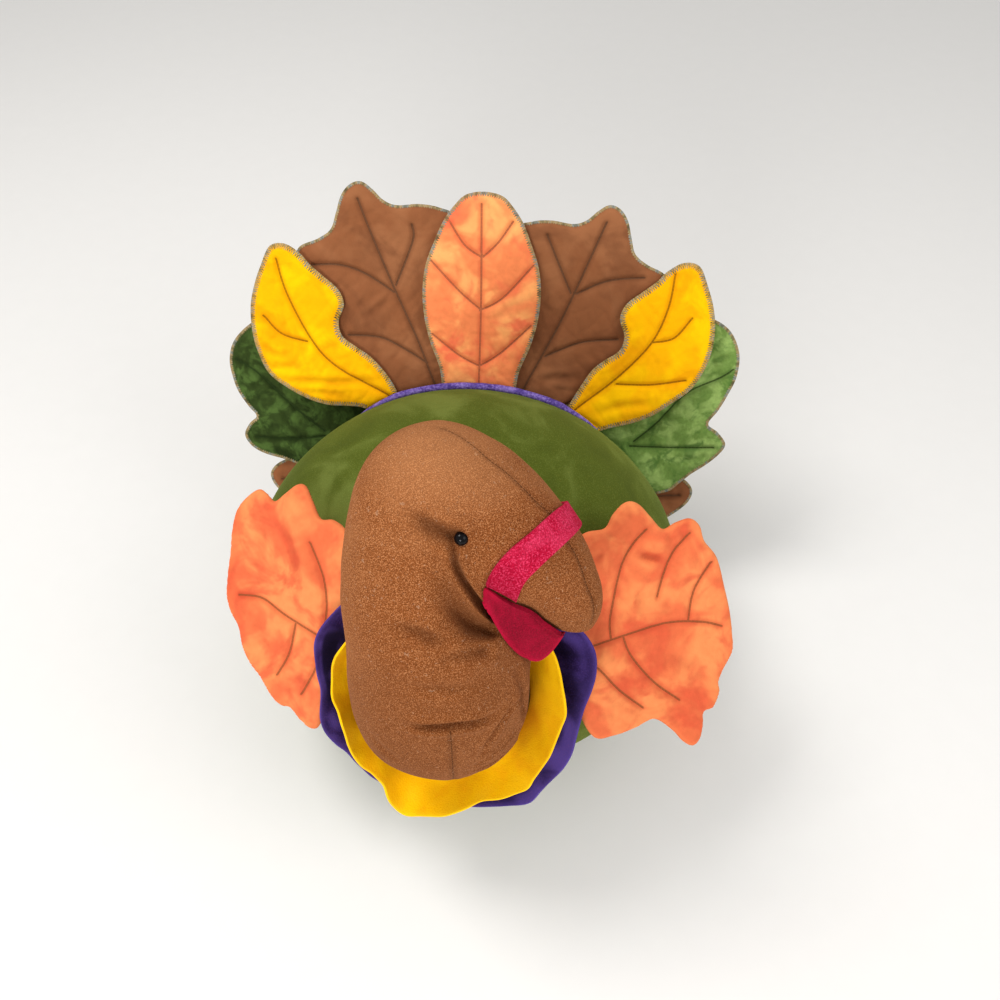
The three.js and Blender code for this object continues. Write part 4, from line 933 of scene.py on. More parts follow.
def make_materials():
    c = colours()
    made = {
        "velour": nap_material("Olive Velour", c.velour, cloth_colour("86944a"), cloth_colour("39440f"),
                               1500.0, 0.22, 22.0, 0.36, 0.0, 0.0002, 0.55),
        "fleece": nap_material("Brown Fleece", c.fleece, cloth_colour("c78a5b"), cloth_colour("542a10"),
                               1900.0, 0.66, 14.0, 0.14, 0.25, 0.0006, 0.32),
        "red": nap_material("Red Fleece", c.red, cloth_colour("ee4a74"), cloth_colour("8a0020"),
                            1300.0, 0.6, 60.0, 0.25, 0.0, 0.0009, 0.15),
        # The wattle: the red fleece darkened, as painted shade under the beak
        "wattle": nap_material("Red Fleece In Painted Shade", scaled(c.red, 0.5), scaled(c.red, 0.98), scaled(c.red, 0.24),
                               1300.0, 0.36, 60.0, 0.3, 0.0, 0.0009, 0.05),
        "purple": nap_material("Purple Cloth", c.purple, cloth_colour("564292"), cloth_colour("100620"),
                               1100.0, 0.2, 34.0, 0.75, 0.0, 0.0003, 0.3),
        # The welt: the purple cloth lightened, as painted light on the thin lit welt
        "piping": nap_material("Purple Piping In Painted Light", cloth_colour("6a54a8"), cloth_colour("9a86cc"),
                               cloth_colour("3a2a6c"), 700.0, 0.6, 90.0, 0.5, 0.0, 0.0004, 0.3),
        "collar_yellow": nap_material("Yellow Cloth", c.collar_yellow, cloth_colour("ffcc1c"),
                                      cloth_colour("ee9400"), 1300.0, 0.2, 40.0, 0.35, 0.0, 0.0003, 0.05),
        "orange": leaf_material("Orange Quilted Cotton", c.orange, cloth_colour("ffae68"), cloth_colour("ea6a48"),
                                38.0, 0.85, 0.3, 2.2, cloth_colour("9a5a3e")),
        "wing": leaf_material("Orange Turned Cotton", c.wing, cloth_colour("f29458"), cloth_colour("d25538"),
                              34.0, 0.75, 0.35, 0, cloth_colour("84502f")),
        "brown": leaf_material("Brown Quilted Cotton", c.brown, cloth_colour("a06a46"), cloth_colour("70432a"),
                               30.0, 0.5, 0.14, 1.5, cloth_colour("604330")),
        "yellow": leaf_material("Yellow Quilted Cotton", c.yellow, cloth_colour("ffc800"), cloth_colour("ea9a00"),
                                34.0, 0.7, 0.12, 3.0, cloth_colour("8a5a08")),
        "green_left": leaf_material("Left Green Cotton", c.green_left, cloth_colour("9cb868"),
                                    cloth_colour("42662a"), 85.0, 0.7, 0.6, 1.8, cloth_colour("2c3c18")),
        "green_right": leaf_material("Right Green Cotton", c.green_right, cloth_colour("516b32"),
                                     cloth_colour("1c280d"), 85.0, 0.7, 0.6, 1.8, cloth_colour("283818")),
        "thread": thread_material("Black Thread", cloth_colour("201a18")),
        "bead": bead_material(),
    }
    return made


def material(key):
    """The scene's material of that key, made with the others on first use."""
    if not looks:
        looks.update(make_materials())
    return looks[key]


looks = {}


# ---------------------------------------------------------------- body


def fan_matrix():
    return placed_frame(FAN_ROOT, Vector((1, 0, 0)), Vector((0, math.sin(FAN_LEAN), math.cos(FAN_LEAN))))


class TURKEY_OT_body(bpy.types.Operator):
    """Make the velour body and the cloth panel under it"""

    bl_idname = "turkey.body"
    bl_label = "Velour Body"

    def execute(self, context):
        s = context.scene.turkey_sizes
        bm = bmesh.new()
        bmesh.ops.create_uvsphere(bm, u_segments=160, v_segments=96, radius=1)
        to_fan = fan_matrix().inverted()
        panel = 48 * MM
        for vert in bm.verts:
            point = vert.co.copy()
            rise = s.body_height - s.widest_height if point.z > 0 else s.belly_drop
            vert.co = Vector((point.x * s.body_width / 2, point.y * s.body_depth / 2, s.widest_height + point.z * rise))
        bm.normal_update()
        welt = welt_path()
        lines = np.array([[*p] for p in welt])
        points = np.array([[*v.co] for v in bm.verts])
        from_welt = distance_to_line(points, lines)[0]
        root = neck_root()
        for vert, gap in zip(bm.verts, from_welt):
            seam = (to_fan @ vert.co).z
            down = 0.5 * MM * math.exp(-((seam / (1.6 * MM)) ** 2))
            down += max(0, WELT_RADIUS + 0.1 * MM - gap)
            behind = min(1, max(0, (seam - 16 * MM) / (12 * MM)))
            away = (vert.co - root).length
            puckers = math.sin(22 * math.atan2(vert.co.x, vert.co.z - root.z))
            puckers = (1 + puckers) * math.exp(-((away - 60 * MM) / (10 * MM)) ** 2)
            down += behind * MM * (0.28 * (1 + soft_lumps(vert.co, 40 * MM, 3)) + 0.4 * puckers)
            vert.co -= vert.normal * down
            reach = math.hypot(vert.co.x, vert.co.y * s.body_width / s.body_depth)
            if vert.co.z < 2.6 * MM and reach < panel + 1.2 * MM:
                vert.co.z = 2.6 * MM
            elif vert.co.z < 0.2 * MM:
                vert.co.z = 0.2 * MM
        bmesh.ops.recalc_face_normals(bm, faces=bm.faces)
        body = finish_piece("body_velour", bm, material("velour"))
        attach(body, "body")
        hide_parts("body_cover_front", "body_cover_back", "body_stuffing", "weight_pouch")

        bm = bmesh.new()
        bmesh.ops.create_circle(bm, cap_ends=True, radius=panel, segments=96)
        for inset, rise in ((0.5, 0.35), (0.9, 0.25), (2.2, -0.1), (0.6, -0.25), (0.6, 0.25), (8, 0.1), (10, 0), (12, 0)):
            ret = bmesh.ops.inset_region(bm, faces=[f for f in bm.faces if len(f.verts) > 4], thickness=inset * MM,
                                         depth=rise * MM, use_even_offset=True)
            del ret
        bmesh.ops.poke(bm, faces=[f for f in bm.faces if len(f.verts) > 4])
        for vert in bm.verts:
            vert.co = Vector((vert.co.x, vert.co.y * s.body_depth / s.body_width, 1.1 * MM - vert.co.z * 0.9))
        bmesh.ops.recalc_face_normals(bm, faces=bm.faces)
        base = finish_piece("base_cloth", bm, material("velour"))
        skin = base.modifiers.new("Cloth", "SOLIDIFY")
        skin.thickness = 0.9 * MM
        skin.offset = 0
        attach(base, "body")
        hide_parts("base_panel")
        return {"FINISHED"}


# ---------------------------------------------------------------- neck and head


def head_share(shares, turn):
    last = len(HEAD_TURNS) - 1
    k = next((i for i in range(1, last + 1) if HEAD_TURNS[i] <= turn or i == last), last)
    part = (HEAD_TURNS[k - 1] - turn) / (HEAD_TURNS[k - 1] - HEAD_TURNS[k])
    a, b, c, d = [shares[min(last, max(0, i))] for i in (k - 2, k - 1, k, k + 1)]
    return curve_between(a, b, c, d, part)


def head_point(turn, around, off=0.0):
    """A point of the head's skin: turn about the throat in degrees, angle round the ring, distance off the skin."""
    s = sizes()
    outer = head_share(OUTER_SHARES, turn) * s.head_length
    inner = head_share(INNER_SHARES, turn) * s.head_length
    half = (outer - inner) / 2 + off
    wide = head_share(WIDTH_SHARES, turn) * s.head_width + off
    heading = BEAK_OUT * math.cos(math.radians(turn)) + FACE_UP * math.sin(math.radians(turn))
    point = THROAT + CHEEK_OUT * head_share(FORWARD_SHARES, turn) * s.head_length
    return point + heading * ((outer + inner) / 2 + half * math.cos(around)) + CHEEK_OUT * wide * math.sin(around)


def neck_ring(front, back):
    s = sizes()
    ends = [Vector((0, y * s.neck_width, z * s.neck_width)) + neck_root() for y, z in (front, back)]
    middle = (ends[0] + ends[1]) / 2
    forward = ends[0] - middle
    return [middle + forward * math.sin(a) - Vector((s.neck_width / 2 * math.cos(a), 0, 0)) for a in ring_angles()]


def ring_angles():
    return [2 * math.pi * i / NECK_SIDES for i in range(NECK_SIDES)]


def root_ring(radius, on_chest):
    ring = []
    for a in ring_angles():
        across = Vector((-math.cos(a) * radius, 0, 0))
        point = neck_root() + CHEST_DOWN * radius * math.sin(a) + across
        if on_chest:
            point -= CHEST_OUT * (drop_to_body(point, -CHEST_OUT) - 0.7 * MM)
        ring.append(point)
    return ring


def neck_rings():
    """All rings of the neck and head, from the chest to the beak's rounded end."""
    s = sizes()
    chest = root_ring(s.neck_width / 2 - 0.6 * MM, True)
    turns = [180 - 0.9 * i for i in range(int((180 - BEAK_END_TURN) / 0.9) + 1)] + [BEAK_END_TURN]
    head = [[head_point(turn, a) for a in ring_angles()] for turn in turns]
    lead = [[head_point(turn, a) for a in ring_angles()] for turn in (180, 168)]
    posts = [chest, root_ring(s.neck_width / 2, False)] + [neck_ring(*ends) for ends in NECK_RING_SHARES] + lead
    rings = [root_ring(radius * MM, True) for radius in (8, 20, 32, 40)] + [chest]
    for k in range(len(posts) - 2):
        steps = 4 if k == 0 else 22
        before = posts[max(0, k - 1)]
        for j in range(1 if k == 0 else 0, steps):
            rings.append([curve_between(a, b, c, d, j / steps)
                          for a, b, c, d in zip(before, posts[k], posts[k + 1], posts[k + 2])])
    rings += head
    middle = sum(head[-1], Vector()) / NECK_SIDES
    before = sum(head[-3], Vector()) / NECK_SIDES
    heading = (middle - before).normalized()
    depth = 4.4 * MM
    for j in range(1, 8):
        angle = math.radians(90 * j / 8)
        rings.append([middle + heading * depth * math.sin(angle) + (p - middle) * math.cos(angle) for p in head[-1]])
    return rings


class TURKEY_OT_neck(bpy.types.Operator):
    """Make the fleece neck and head with their creases and seams"""

    bl_idname = "turkey.neck"
    bl_label = "Neck and Head"

    def execute(self, context):
        rings = neck_rings()
        bm = bmesh.new()
        bmesh.ops.create_circle(bm, radius=1 * MM, segments=NECK_SIDES)
        loop = list(bm.verts)
        for vert, point in zip(loop, rings[0]):
            vert.co = point
        bmesh.ops.contextual_create(bm, geom=loop)
        edges = [e for e in bm.edges]
        for ring in rings[1:]:
            made = bmesh.ops.extrude_edge_only(bm, edges=edges)["geom"]
            pairs = {}
            for edge in (g for g in made if isinstance(g, bmesh.types.BMEdge)):
                pairs[edge] = edge
            new_loop = []
            new_verts = {g for g in made if isinstance(g, bmesh.types.BMVert)}
            for vert in loop:
                new_loop.append(next(e.other_vert(vert) for e in vert.link_edges if e.other_vert(vert) in new_verts))
            for vert, point in zip(new_loop, ring):
                vert.co = point
            loop = new_loop
            edges = list(pairs)
        bmesh.ops.contextual_create(bm, geom=loop)
        bmesh.ops.poke(bm, faces=[f for f in bm.faces if len(f.verts) > 4])
        bmesh.ops.recalc_face_normals(bm, faces=bm.faces)
        bm.normal_update()
        self.crease(bm, context.scene.turkey_sizes)
        neck = finish_piece("neck_fleece", bm, material("fleece"))
        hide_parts("neck_cover", "neck_stuffing")
        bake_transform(neck)
        return {"FINISHED"}

    def crease(self, bm, s):
        """Pulls the fleece in along its creases and seams and round the eyes and notes its seams; paints shade into the
        creases, round the eyes and towards the bottom of the neck, and light on the crown.
        """
        points = np.array([[*v.co] for v in bm.verts])
        normals = np.array([[*v.normal] for v in bm.verts])
        down, painted_shade = np.zeros(len(points)), np.zeros(len(points))
        for line, depths, width in CREASES:
            smooth = np.array(smooth_line(line)) * MM
            gap, along, _ = distance_to_line(points, smooth)
            length = np.linalg.norm(np.diff(smooth, axis=0), axis=1).sum()
            depth = np.interp(along / length, np.linspace(0, 1, len(depths)), depths) * CREASE_DEPTH * MM
            down += depth * np.exp(-((gap / (width * MM)) ** 2))
            down -= 0.38 * depth * np.exp(-(((gap - 2.1 * width * MM) / (1.2 * width * MM)) ** 2))
            # Painted shade along the crease, darker where the crease is deeper
            dark = np.minimum(0.62, depth / (5.5 * MM)) / (1 + 0.09 * max(0, width - 2.5))
            painted_shade = np.maximum(painted_shade, dark * np.exp(-((gap / ((0.9 * width + 0.5) * MM)) ** 2)))
        facts = {"seam": np.zeros(len(points)), "beside": np.ones(len(points)), "along": np.zeros(len(points))}
        nearest = np.ones(len(points))
        for line in SEAMS:
            gap, along, beside = beside_on_skin(points, normals, np.array(smooth_line(line)) * MM)
            down += 0.5 * MM * np.exp(-((gap / (1.1 * MM)) ** 2))
            facts["seam"] = np.maximum(facts["seam"], np.exp(-((gap / (2.0 * MM)) ** 4)))
            facts["beside"] = np.where(gap < nearest, beside / MM, facts["beside"])
            facts["along"] = np.where(gap < nearest, along / MM, facts["along"])
            nearest = np.minimum(nearest, gap)
        for side in (1, -1):
            eye = np.array(head_point(EYE_TURN, side * EYE_ROUND))
            gap = np.linalg.norm(points - eye, axis=1)
            down += 3.6 * MM * np.exp(-((gap / (4.4 * MM)) ** 2))
            # Painted shade in the socket round each eye
            shade = np.linalg.norm(points - eye + np.array(BEAK_OUT) * 1.8 * MM - np.array(FACE_UP) * 1.2 * MM, axis=1)
            painted_shade = np.maximum(painted_shade, 0.6 * np.exp(-((shade / (4.6 * MM)) ** 2)))
        # Painted shade towards the bottom of the neck
        low = np.clip((235 * MM - points[:, 2]) / (90 * MM), 0, 1)
        painted_shade = np.maximum(painted_shade, 0.24 * low * low * (3 - 2 * low))
        facts["painted_shade"] = painted_shade
        # Painted light on the crown, kept off the painted shade
        facts["painted_light"] = 0.36 * np.clip((points[:, 2] - 270 * MM) / (16 * MM), 0, 1) * (1 - np.minimum(1, painted_shade * 2))
        layers = {label: bm.verts.layers.float.new(label) for label in facts}
        for i, vert in enumerate(bm.verts):
            for label, layer in layers.items():
                vert[layer] = float(facts[label][i])
            lumps = 0.45 * MM * soft_lumps(vert.co, 17 * MM, 7) + 0.6 * MM * soft_lumps(vert.co, 38 * MM, 9)
            vert.co -= vert.normal * (down[i] + lumps)


# ---------------------------------------------------------------- eyes


class TURKEY_OT_eyes(bpy.types.Operator):
    """Make the two black bead eyes"""

    bl_idname = "turkey.eyes"
    bl_label = "Bead Eyes"

    def execute(self, context):
        s = context.scene.turkey_sizes
        radius = s.eye_diameter / 2
        spots = {1: head_point(EYE_TURN, EYE_ROUND), -1: head_point(EYE_TURN, -EYE_ROUND)}
        through = (spots[-1] - spots[1]).normalized()
        head = bpy.data.objects["neck_fleece"]
        tree = BVHTree.FromPolygons([v.co for v in head.data.vertices], [p.vertices for p in head.data.polygons])
        for side, name, node in ((1, "bead_right", "eye_right"), (-1, "bead_left", "eye_left")):
            bm = bmesh.new()
            hole = math.radians(12)
            profile = []
            for i in range(25):
                angle = hole + (math.pi - 2 * hole) * i / 24
                profile.append(bm.verts.new((radius * math.sin(angle), 0, radius * math.cos(angle))))
            for i in range(1, 6):
                height = math.cos(hole) * radius * (1 - i / 3)
                profile.append(bm.verts.new((radius * math.sin(hole), 0, -height)))
            edges = [bm.edges.new((a, b)) for a, b in zip(profile, profile[1:] + profile[:1])]
            bmesh.ops.spin(bm, geom=profile + edges, cent=(0, 0, 0), axis=(0, 0, 1), angle=2 * math.pi,
                           steps=40, use_merge=True)
            bmesh.ops.remove_doubles(bm, verts=bm.verts, dist=1e-6)
            bmesh.ops.recalc_face_normals(bm, faces=bm.faces)
            turn = Vector((0, 0, 1)).rotation_difference(through.cross(CHEEK_OUT).normalized()).to_matrix()
            socket = tree.ray_cast(spots[side] - through * side * 10 * MM, through * side)[0]
            spot = socket - through * side * 1.0 * MM
            bmesh.ops.transform(bm, matrix=Matrix.Translation(spot) @ turn.to_4x4(), verts=bm.verts)
            bead = finish_piece(name, bm, material("bead"))
            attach(bead, "neck")
            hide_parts(node)
        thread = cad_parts["eye_thread"]
        thread.data.materials.clear()
        thread.data.materials.append(material("thread"))
        return {"FINISHED"}


# ---------------------------------------------------------------- red fleece trim


class TURKEY_OT_trim(bpy.types.Operator):
    """Make the red strip over the beak and the wattle below it"""

    bl_idname = "turkey.trim"
    bl_label = "Strip and Wattle"

    def execute(self, context):
        s = context.scene.turkey_sizes
        self.strip(s)
        self.wattle(s)
        return {"FINISHED"}

    def strip(self, s):
        bm = bmesh.new()
        long_steps, cross_steps = 110, 12
        bmesh.ops.create_grid(bm, x_segments=long_steps, y_segments=cross_steps, size=0.5)
        layer = bm.loops.layers.uv.new("UVMap")
        painted_shade = bm.verts.layers.float.new("painted_shade")
        flat = {v: (v.co.x + 0.5, v.co.y + 0.5) for v in bm.verts}
        last = len(STRIP_ROUNDS) - 1
        for vert, (u, v) in flat.items():
            at = u * last
            k = min(last - 1, int(at))
            picks = [min(last, max(0, i)) for i in (k - 1, k, k + 1, k + 2)]
            around = curve_between(*[STRIP_ROUNDS[i] for i in picks], at - k)
            around += (2 + 8 * v) * max(0, (around - 70) / 26) ** 2
            upper = curve_between(*[STRIP_UPPER_TURNS[i] for i in picks], at - k)
            lower = curve_between(*[STRIP_LOWER_TURNS[i] for i in picks], at - k)
            turn = upper + (lower - upper) * v
            curl = 0.3 * MM * (2 * v - 1) ** 4
            vert.co = head_point(turn, math.radians(around), 0.6 * MM + s.strip_thickness / 2 + curl)
        for face in bm.faces:
            for corner in face.loops:
                u, v = flat[corner.vert]
                corner[layer].uv = (u * 0.11, v * 0.014)
        bmesh.ops.recalc_face_normals(bm, faces=bm.faces)
        # Painted shade towards the strip's throat end, under the beak
        for vert, (u, v) in flat.items():
            vert[painted_shade] = 0.4 * max(0, min(1, (u - 0.86) / 0.14))
        strip = finish_piece("red_strip", bm, material("red"))
        thicken(strip, s.strip_thickness, 0.35)
        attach(strip, "neck")
        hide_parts("snood_strip")

    def wattle(self, s):
        matrix = placed_frame(WATTLE_ROOT, WATTLE_ACROSS, WATTLE_UP)
        size = 50 * MM
        outline = evenly(smooth_line([(x * size, y * size) for x, y in WATTLE_SHARES], True), 0.9 * MM, True)
        bm = cut_sheet(outline, 0.9 * MM, (0.35,))
        head = bpy.data.objects["neck_fleece"]
        tree = BVHTree.FromPolygons([v.co for v in head.data.vertices], [p.vertices for p in head.data.polygons])
        painted_light = bm.verts.layers.float.new("painted_light")
        flat = np.array([[v.co.x, v.co.y] for v in bm.verts])
        from_edge = distance_to_line(flat, outline, True)[0]
        for vert, gap in zip(bm.verts, from_edge):
            x, y = vert.co.x / size, vert.co.y / size
            # Painted light where the wattle meets the strip and along its lower rim
            at_strip = max(0, min(1, (0.22 - x) / 0.2)) * max(0, min(1, 1 + y / 0.2))
            below = max(0, min(1, (-0.04 - y) / 0.08))
            vert[painted_light] = max(0.75 * at_strip, 0.8 * below * math.exp(-((gap / (1.7 * MM)) ** 2)))
            curl = 1.2 * MM * math.sin(3.1 * x) * (0.4 - y) + 0.5 * MM * soft_lumps(vert.co, 12 * MM, 4)
            under_beak = max(0, min(1, (x - 0.2) / 0.25)) * max(0, min(1, 1 + y / 0.25))
            point = matrix @ Vector((vert.co.x, vert.co.y - 0.9 * MM * under_beak, curl))
            spot, normal, _, _ = tree.find_nearest(point)
            off = (point - spot).dot(normal)
            need = s.strip_thickness / 2 + (1.0 + 0.5 * under_beak) * MM
            if off < need:
                point += normal * (need - off)
            vert.co = point
        bmesh.ops.smooth_vert(bm, verts=[v for v in bm.verts if not v.is_boundary], factor=0.5,
                              use_axis_x=True, use_axis_y=True, use_axis_z=True)
        bmesh.ops.recalc_face_normals(bm, faces=bm.faces)
        wattle = finish_piece("red_wattle", bm, material("wattle"))
        thicken(wattle, s.strip_thickness, 0.35)
        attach(wattle, "wattle")
        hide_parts("wattle")

# ---------------------------------------------------------------- quilted leaves


def cut_sheet(outline, pitch, rims):
    """A flat sheet cut to an outline: thin bands along its edge and a square net of faces inside."""
    bm = bmesh.new()
    inner = bm.faces.new([bm.verts.new((x, y, 0)) for x, y in outline])
    for width in rims:
        bmesh.ops.inset_region(bm, faces=[inner], thickness=width * MM, use_even_offset=True)
    low, high = outline.min(0), outline.max(0)
    for axis, facing in ((0, Vector((1, 0, 0))), (1, Vector((0, 1, 0)))):
        for at in np.arange(low[axis] + pitch * 0.5, high[axis], pitch):
            bmesh.ops.bisect_plane(bm, geom=bm.verts[:] + bm.edges[:] + bm.faces[:], dist=1e-7,
                                   plane_co=facing * float(at), plane_no=facing)
    bmesh.ops.remove_doubles(bm, verts=bm.verts, dist=0.16 * MM)
    return bm


def trimmed_outline(outline, matrix, gap):
    """The outline with its part inside the body replaced by the body's own curve, and which points are on that curve."""
    centre = (matrix.inverted() @ Vector((0, 0, sizes().widest_height))).xy

    def out(point):
        return outside_body(matrix @ Vector((point[0], point[1], 0)), gap)

    def on_body(angle):
        heading = Vector((math.cos(angle), math.sin(angle)))
        near, far = 0.0, 0.4
        for _ in range(40):
            middle = (near + far) / 2
            near, far = (middle, far) if out(centre + heading * middle) < 0 else (near, middle)
        return centre + heading * near

    def angle_of(point):
        return math.atan2(point[1] - centre[1], point[0] - centre[0])

    clear = [out(p) > 0 for p in outline]
    if all(clear):
        return outline, np.zeros(len(outline), bool)
    first = next(i for i in range(len(outline)) if clear[i] and not clear[i - 1])
    points = np.roll(outline, -first, 0)
    clear = clear[first:] + clear[:first]
    kept, sewn, i = [], [], 0
    while i < len(points):
        if clear[i]:
            kept.append(tuple(points[i]))
            sewn.append(False)
            i += 1
            continue
        run_end = i
        while run_end < len(points) and not clear[run_end]:
            run_end += 1
        start, end = angle_of(points[i - 1]), angle_of(points[run_end % len(points)])
        sweep = (end - start + math.pi) % (2 * math.pi) - math.pi
        steps = max(2, int(abs(sweep) * 0.11 / (1.3 * MM)))
        for k in range(1, steps):
            kept.append(tuple(on_body(start + sweep * k / steps)))
            sewn.append(True)
        i = run_end
    return np.array(kept), np.array(sewn)


def quilted_pad(name, key, shares, veins, folds, size, side, matrix, bordered, seed):
    """A padded leaf: flat at its sewn edge, full between its stitched veins, creased by its folds, clear of the body."""
    s = sizes()
    outline = smooth_line([(side * x * size, y * size) for x, y in shares], True)
    outline = evenly(outline, 1.3 * MM, True)
    outline, sewn = trimmed_outline(outline, matrix, 0.6 * MM)
    bm = cut_sheet(outline, s.quilt_pitch, (0.45, 0.8))
    bm.verts.ensure_lookup_table()
    points = np.array([[v.co.x, v.co.y] for v in bm.verts])
    from_edge = distance_to_line(points, outline, True)[0]
    free = ~(sewn | np.roll(sewn, -1))
    from_hem, run, _ = distance_to_line(points, outline, True, free)
    from_vein, stitch = np.full(len(points), 1.0), np.zeros(len(points))
    facts = {"edge": from_hem / MM, "run": run / MM}
    for kind, lines in (("mid", veins[:1]), ("branch", veins[1:])):
        off, sewn_along, beside = np.full(len(points), 1.0), np.zeros(len(points)), np.full(len(points), 1.0)
        for vein in lines:
            line = evenly(smooth_line([(side * x * size, y * size) for x, y in vein]), 1.5 * MM)
            gap, along, across = distance_to_line(points, line)
            nearer = gap < off
            off, sewn_along, beside = [np.where(nearer, a, b) for a, b in
                                       ((gap, off), (along, sewn_along), (across, beside))]
        facts.update({kind + "_vein": off / MM, kind + "_stitch": sewn_along / MM, kind + "_beside": beside / MM})
        stitch = np.where(off < from_vein, sewn_along, stitch)
        from_vein = np.minimum(off, from_vein)
    creased = np.zeros(len(points))
    for fold, depth, width in folds:
        line = np.array(smooth_line([(side * x * size, y * size) for x, y in fold]))
        gap, along, _ = distance_to_line(points, line)
        length = np.linalg.norm(np.diff(line, axis=0), axis=1).sum()
        ends = np.clip(np.minimum(along, length - along) / (0.3 * length), 0.15, 1)
        creased += depth * ends * np.exp(-((gap / (width * MM)) ** 2))
        creased -= 0.45 * depth * ends * np.exp(-(((gap - 2 * width * MM) / (1.1 * width * MM)) ** 2))
    creased *= np.clip((from_edge - 1 * MM) / (4 * MM), 0, 1)
    # Painted shade in the folds' valleys and painted light on the ridges beside them
    facts["painted_shade"] = np.clip(creased / 1.5, 0, 1) * 0.5
    facts["painted_light"] = np.clip(-creased / 1.2, 0, 1) * 0.45
    layers = {label: bm.verts.layers.float.new(label) for label in facts}
    number = bm.verts.layers.int.new("number")
    for i, vert in enumerate(bm.verts):
        vert[number] = i
        for label, layer in layers.items():
            vert[layer] = float(facts[label][i])
    half = s.leaf_thickness / 2
    if bordered:
        thin, flat_to, full_at = 0.5 * MM, 2.2 * MM, 8 * MM
    else:
        thin, flat_to, full_at = 0.45 * MM, 0, 4.2 * MM
    part = np.clip((from_edge - flat_to) / (full_at - flat_to), 0, 1)
    hem = np.clip(from_edge / (1.1 * MM), 0, 1)
    full = thin * np.sqrt(1 - (1 - hem) ** 2 * 0.75) + (half - thin) * np.sqrt(1 - (1 - part) ** 2)
    sunk = 0.62 * np.exp(-((from_vein / (1.4 * MM)) ** 2)) + 0.3 * np.exp(-((from_vein / (5 * MM)) ** 2))
    pucker = np.exp(-from_vein / (5 * MM)) * np.sin(stitch / (0.9 * MM) + 3 * np.sin(stitch / (2.7 * MM)))
    full = full * (1 - sunk * 0.95) * (1 + 0.12 * pucker)
    back = {v for v in bm.verts}
    bmesh.ops.extrude_face_region(bm, geom=bm.faces[:])
    onto_body = matrix.inverted()
    centre = (onto_body @ Vector((0, 0, s.widest_height))).xy
    uv = bm.loops.layers.uv.new("UVMap")
    for face in bm.faces:
        for corner in face.loops:
            corner[uv].uv = corner.vert.co.xy
    for vert in bm.verts:
        i = vert[number]
        place = Vector((vert.co.x, vert.co.y, 0))
        drawn = Vector((place.x * 1.6 + place.y * side, place.y * 0.55, 0))
        wrinkle = math.exp(-((soft_lumps(drawn, 17 * MM, seed + 2) / 0.11) ** 2))
        wrinkle += 0.7 * math.exp(-((soft_lumps(place, 13 * MM, seed + 8) / 0.09) ** 2))
        lumps = 0.10 * soft_lumps(place, 9 * MM, seed) + 0.13 * soft_lumps(place, 22 * MM, seed + 5)
        lumps -= 0.17 * wrinkle
        up = full[i] * (1 + lumps * min(1, from_edge[i] / (5 * MM)))
        sway = 0.25 * MM * soft_lumps(place, 45 * MM, seed + 11) * (1 if bordered else 2.2)
        if vert not in back:
            sway -= float(creased[i]) * MM
        vert.co.z = (-up if vert in back else max(up + sway, 0.6 * MM - up)) + (sway if vert in back else 0)
        point = matrix @ vert.co
        if outside_body(point, 0.5 * MM) < 0:
            heading = (vert.co.xy - centre).normalized()
            for _ in range(60):
                vert.co.x += heading.x * 0.2 * MM
                vert.co.y += heading.y * 0.2 * MM
                if outside_body(matrix @ vert.co, 0.5 * MM) >= 0:
                    break
        vert.co = matrix @ vert.co
    bm.verts.layers.int.remove(number)
    bmesh.ops.recalc_face_normals(bm, faces=bm.faces)
    pad = finish_piece(name, bm, material(key))
    return pad


def welt_path():
    """The line of the purple welt, laid on the body in front of the tail."""
    s = sizes()
    matrix = fan_matrix()
    level = 1.5 * LEAF_SPACING + s.leaf_thickness / 2 + 3.3 * MM
    centre = matrix.inverted() @ Vector((0, 0, s.widest_height))
    path = []
    for i in range(73):
        angle = WELT_REACH * (i / 36 - 1)
        heading = Vector((math.sin(angle), math.cos(angle), 0))
        far = Vector((centre.x, centre.y, level)) + heading * s.body_width
        inward = -(matrix.to_3x3() @ heading).normalized()
        gap = drop_to_body(matrix @ far, inward)
        path.append(matrix @ (far + heading * (WELT_RADIUS - 0.5 * MM - gap)))
    return path


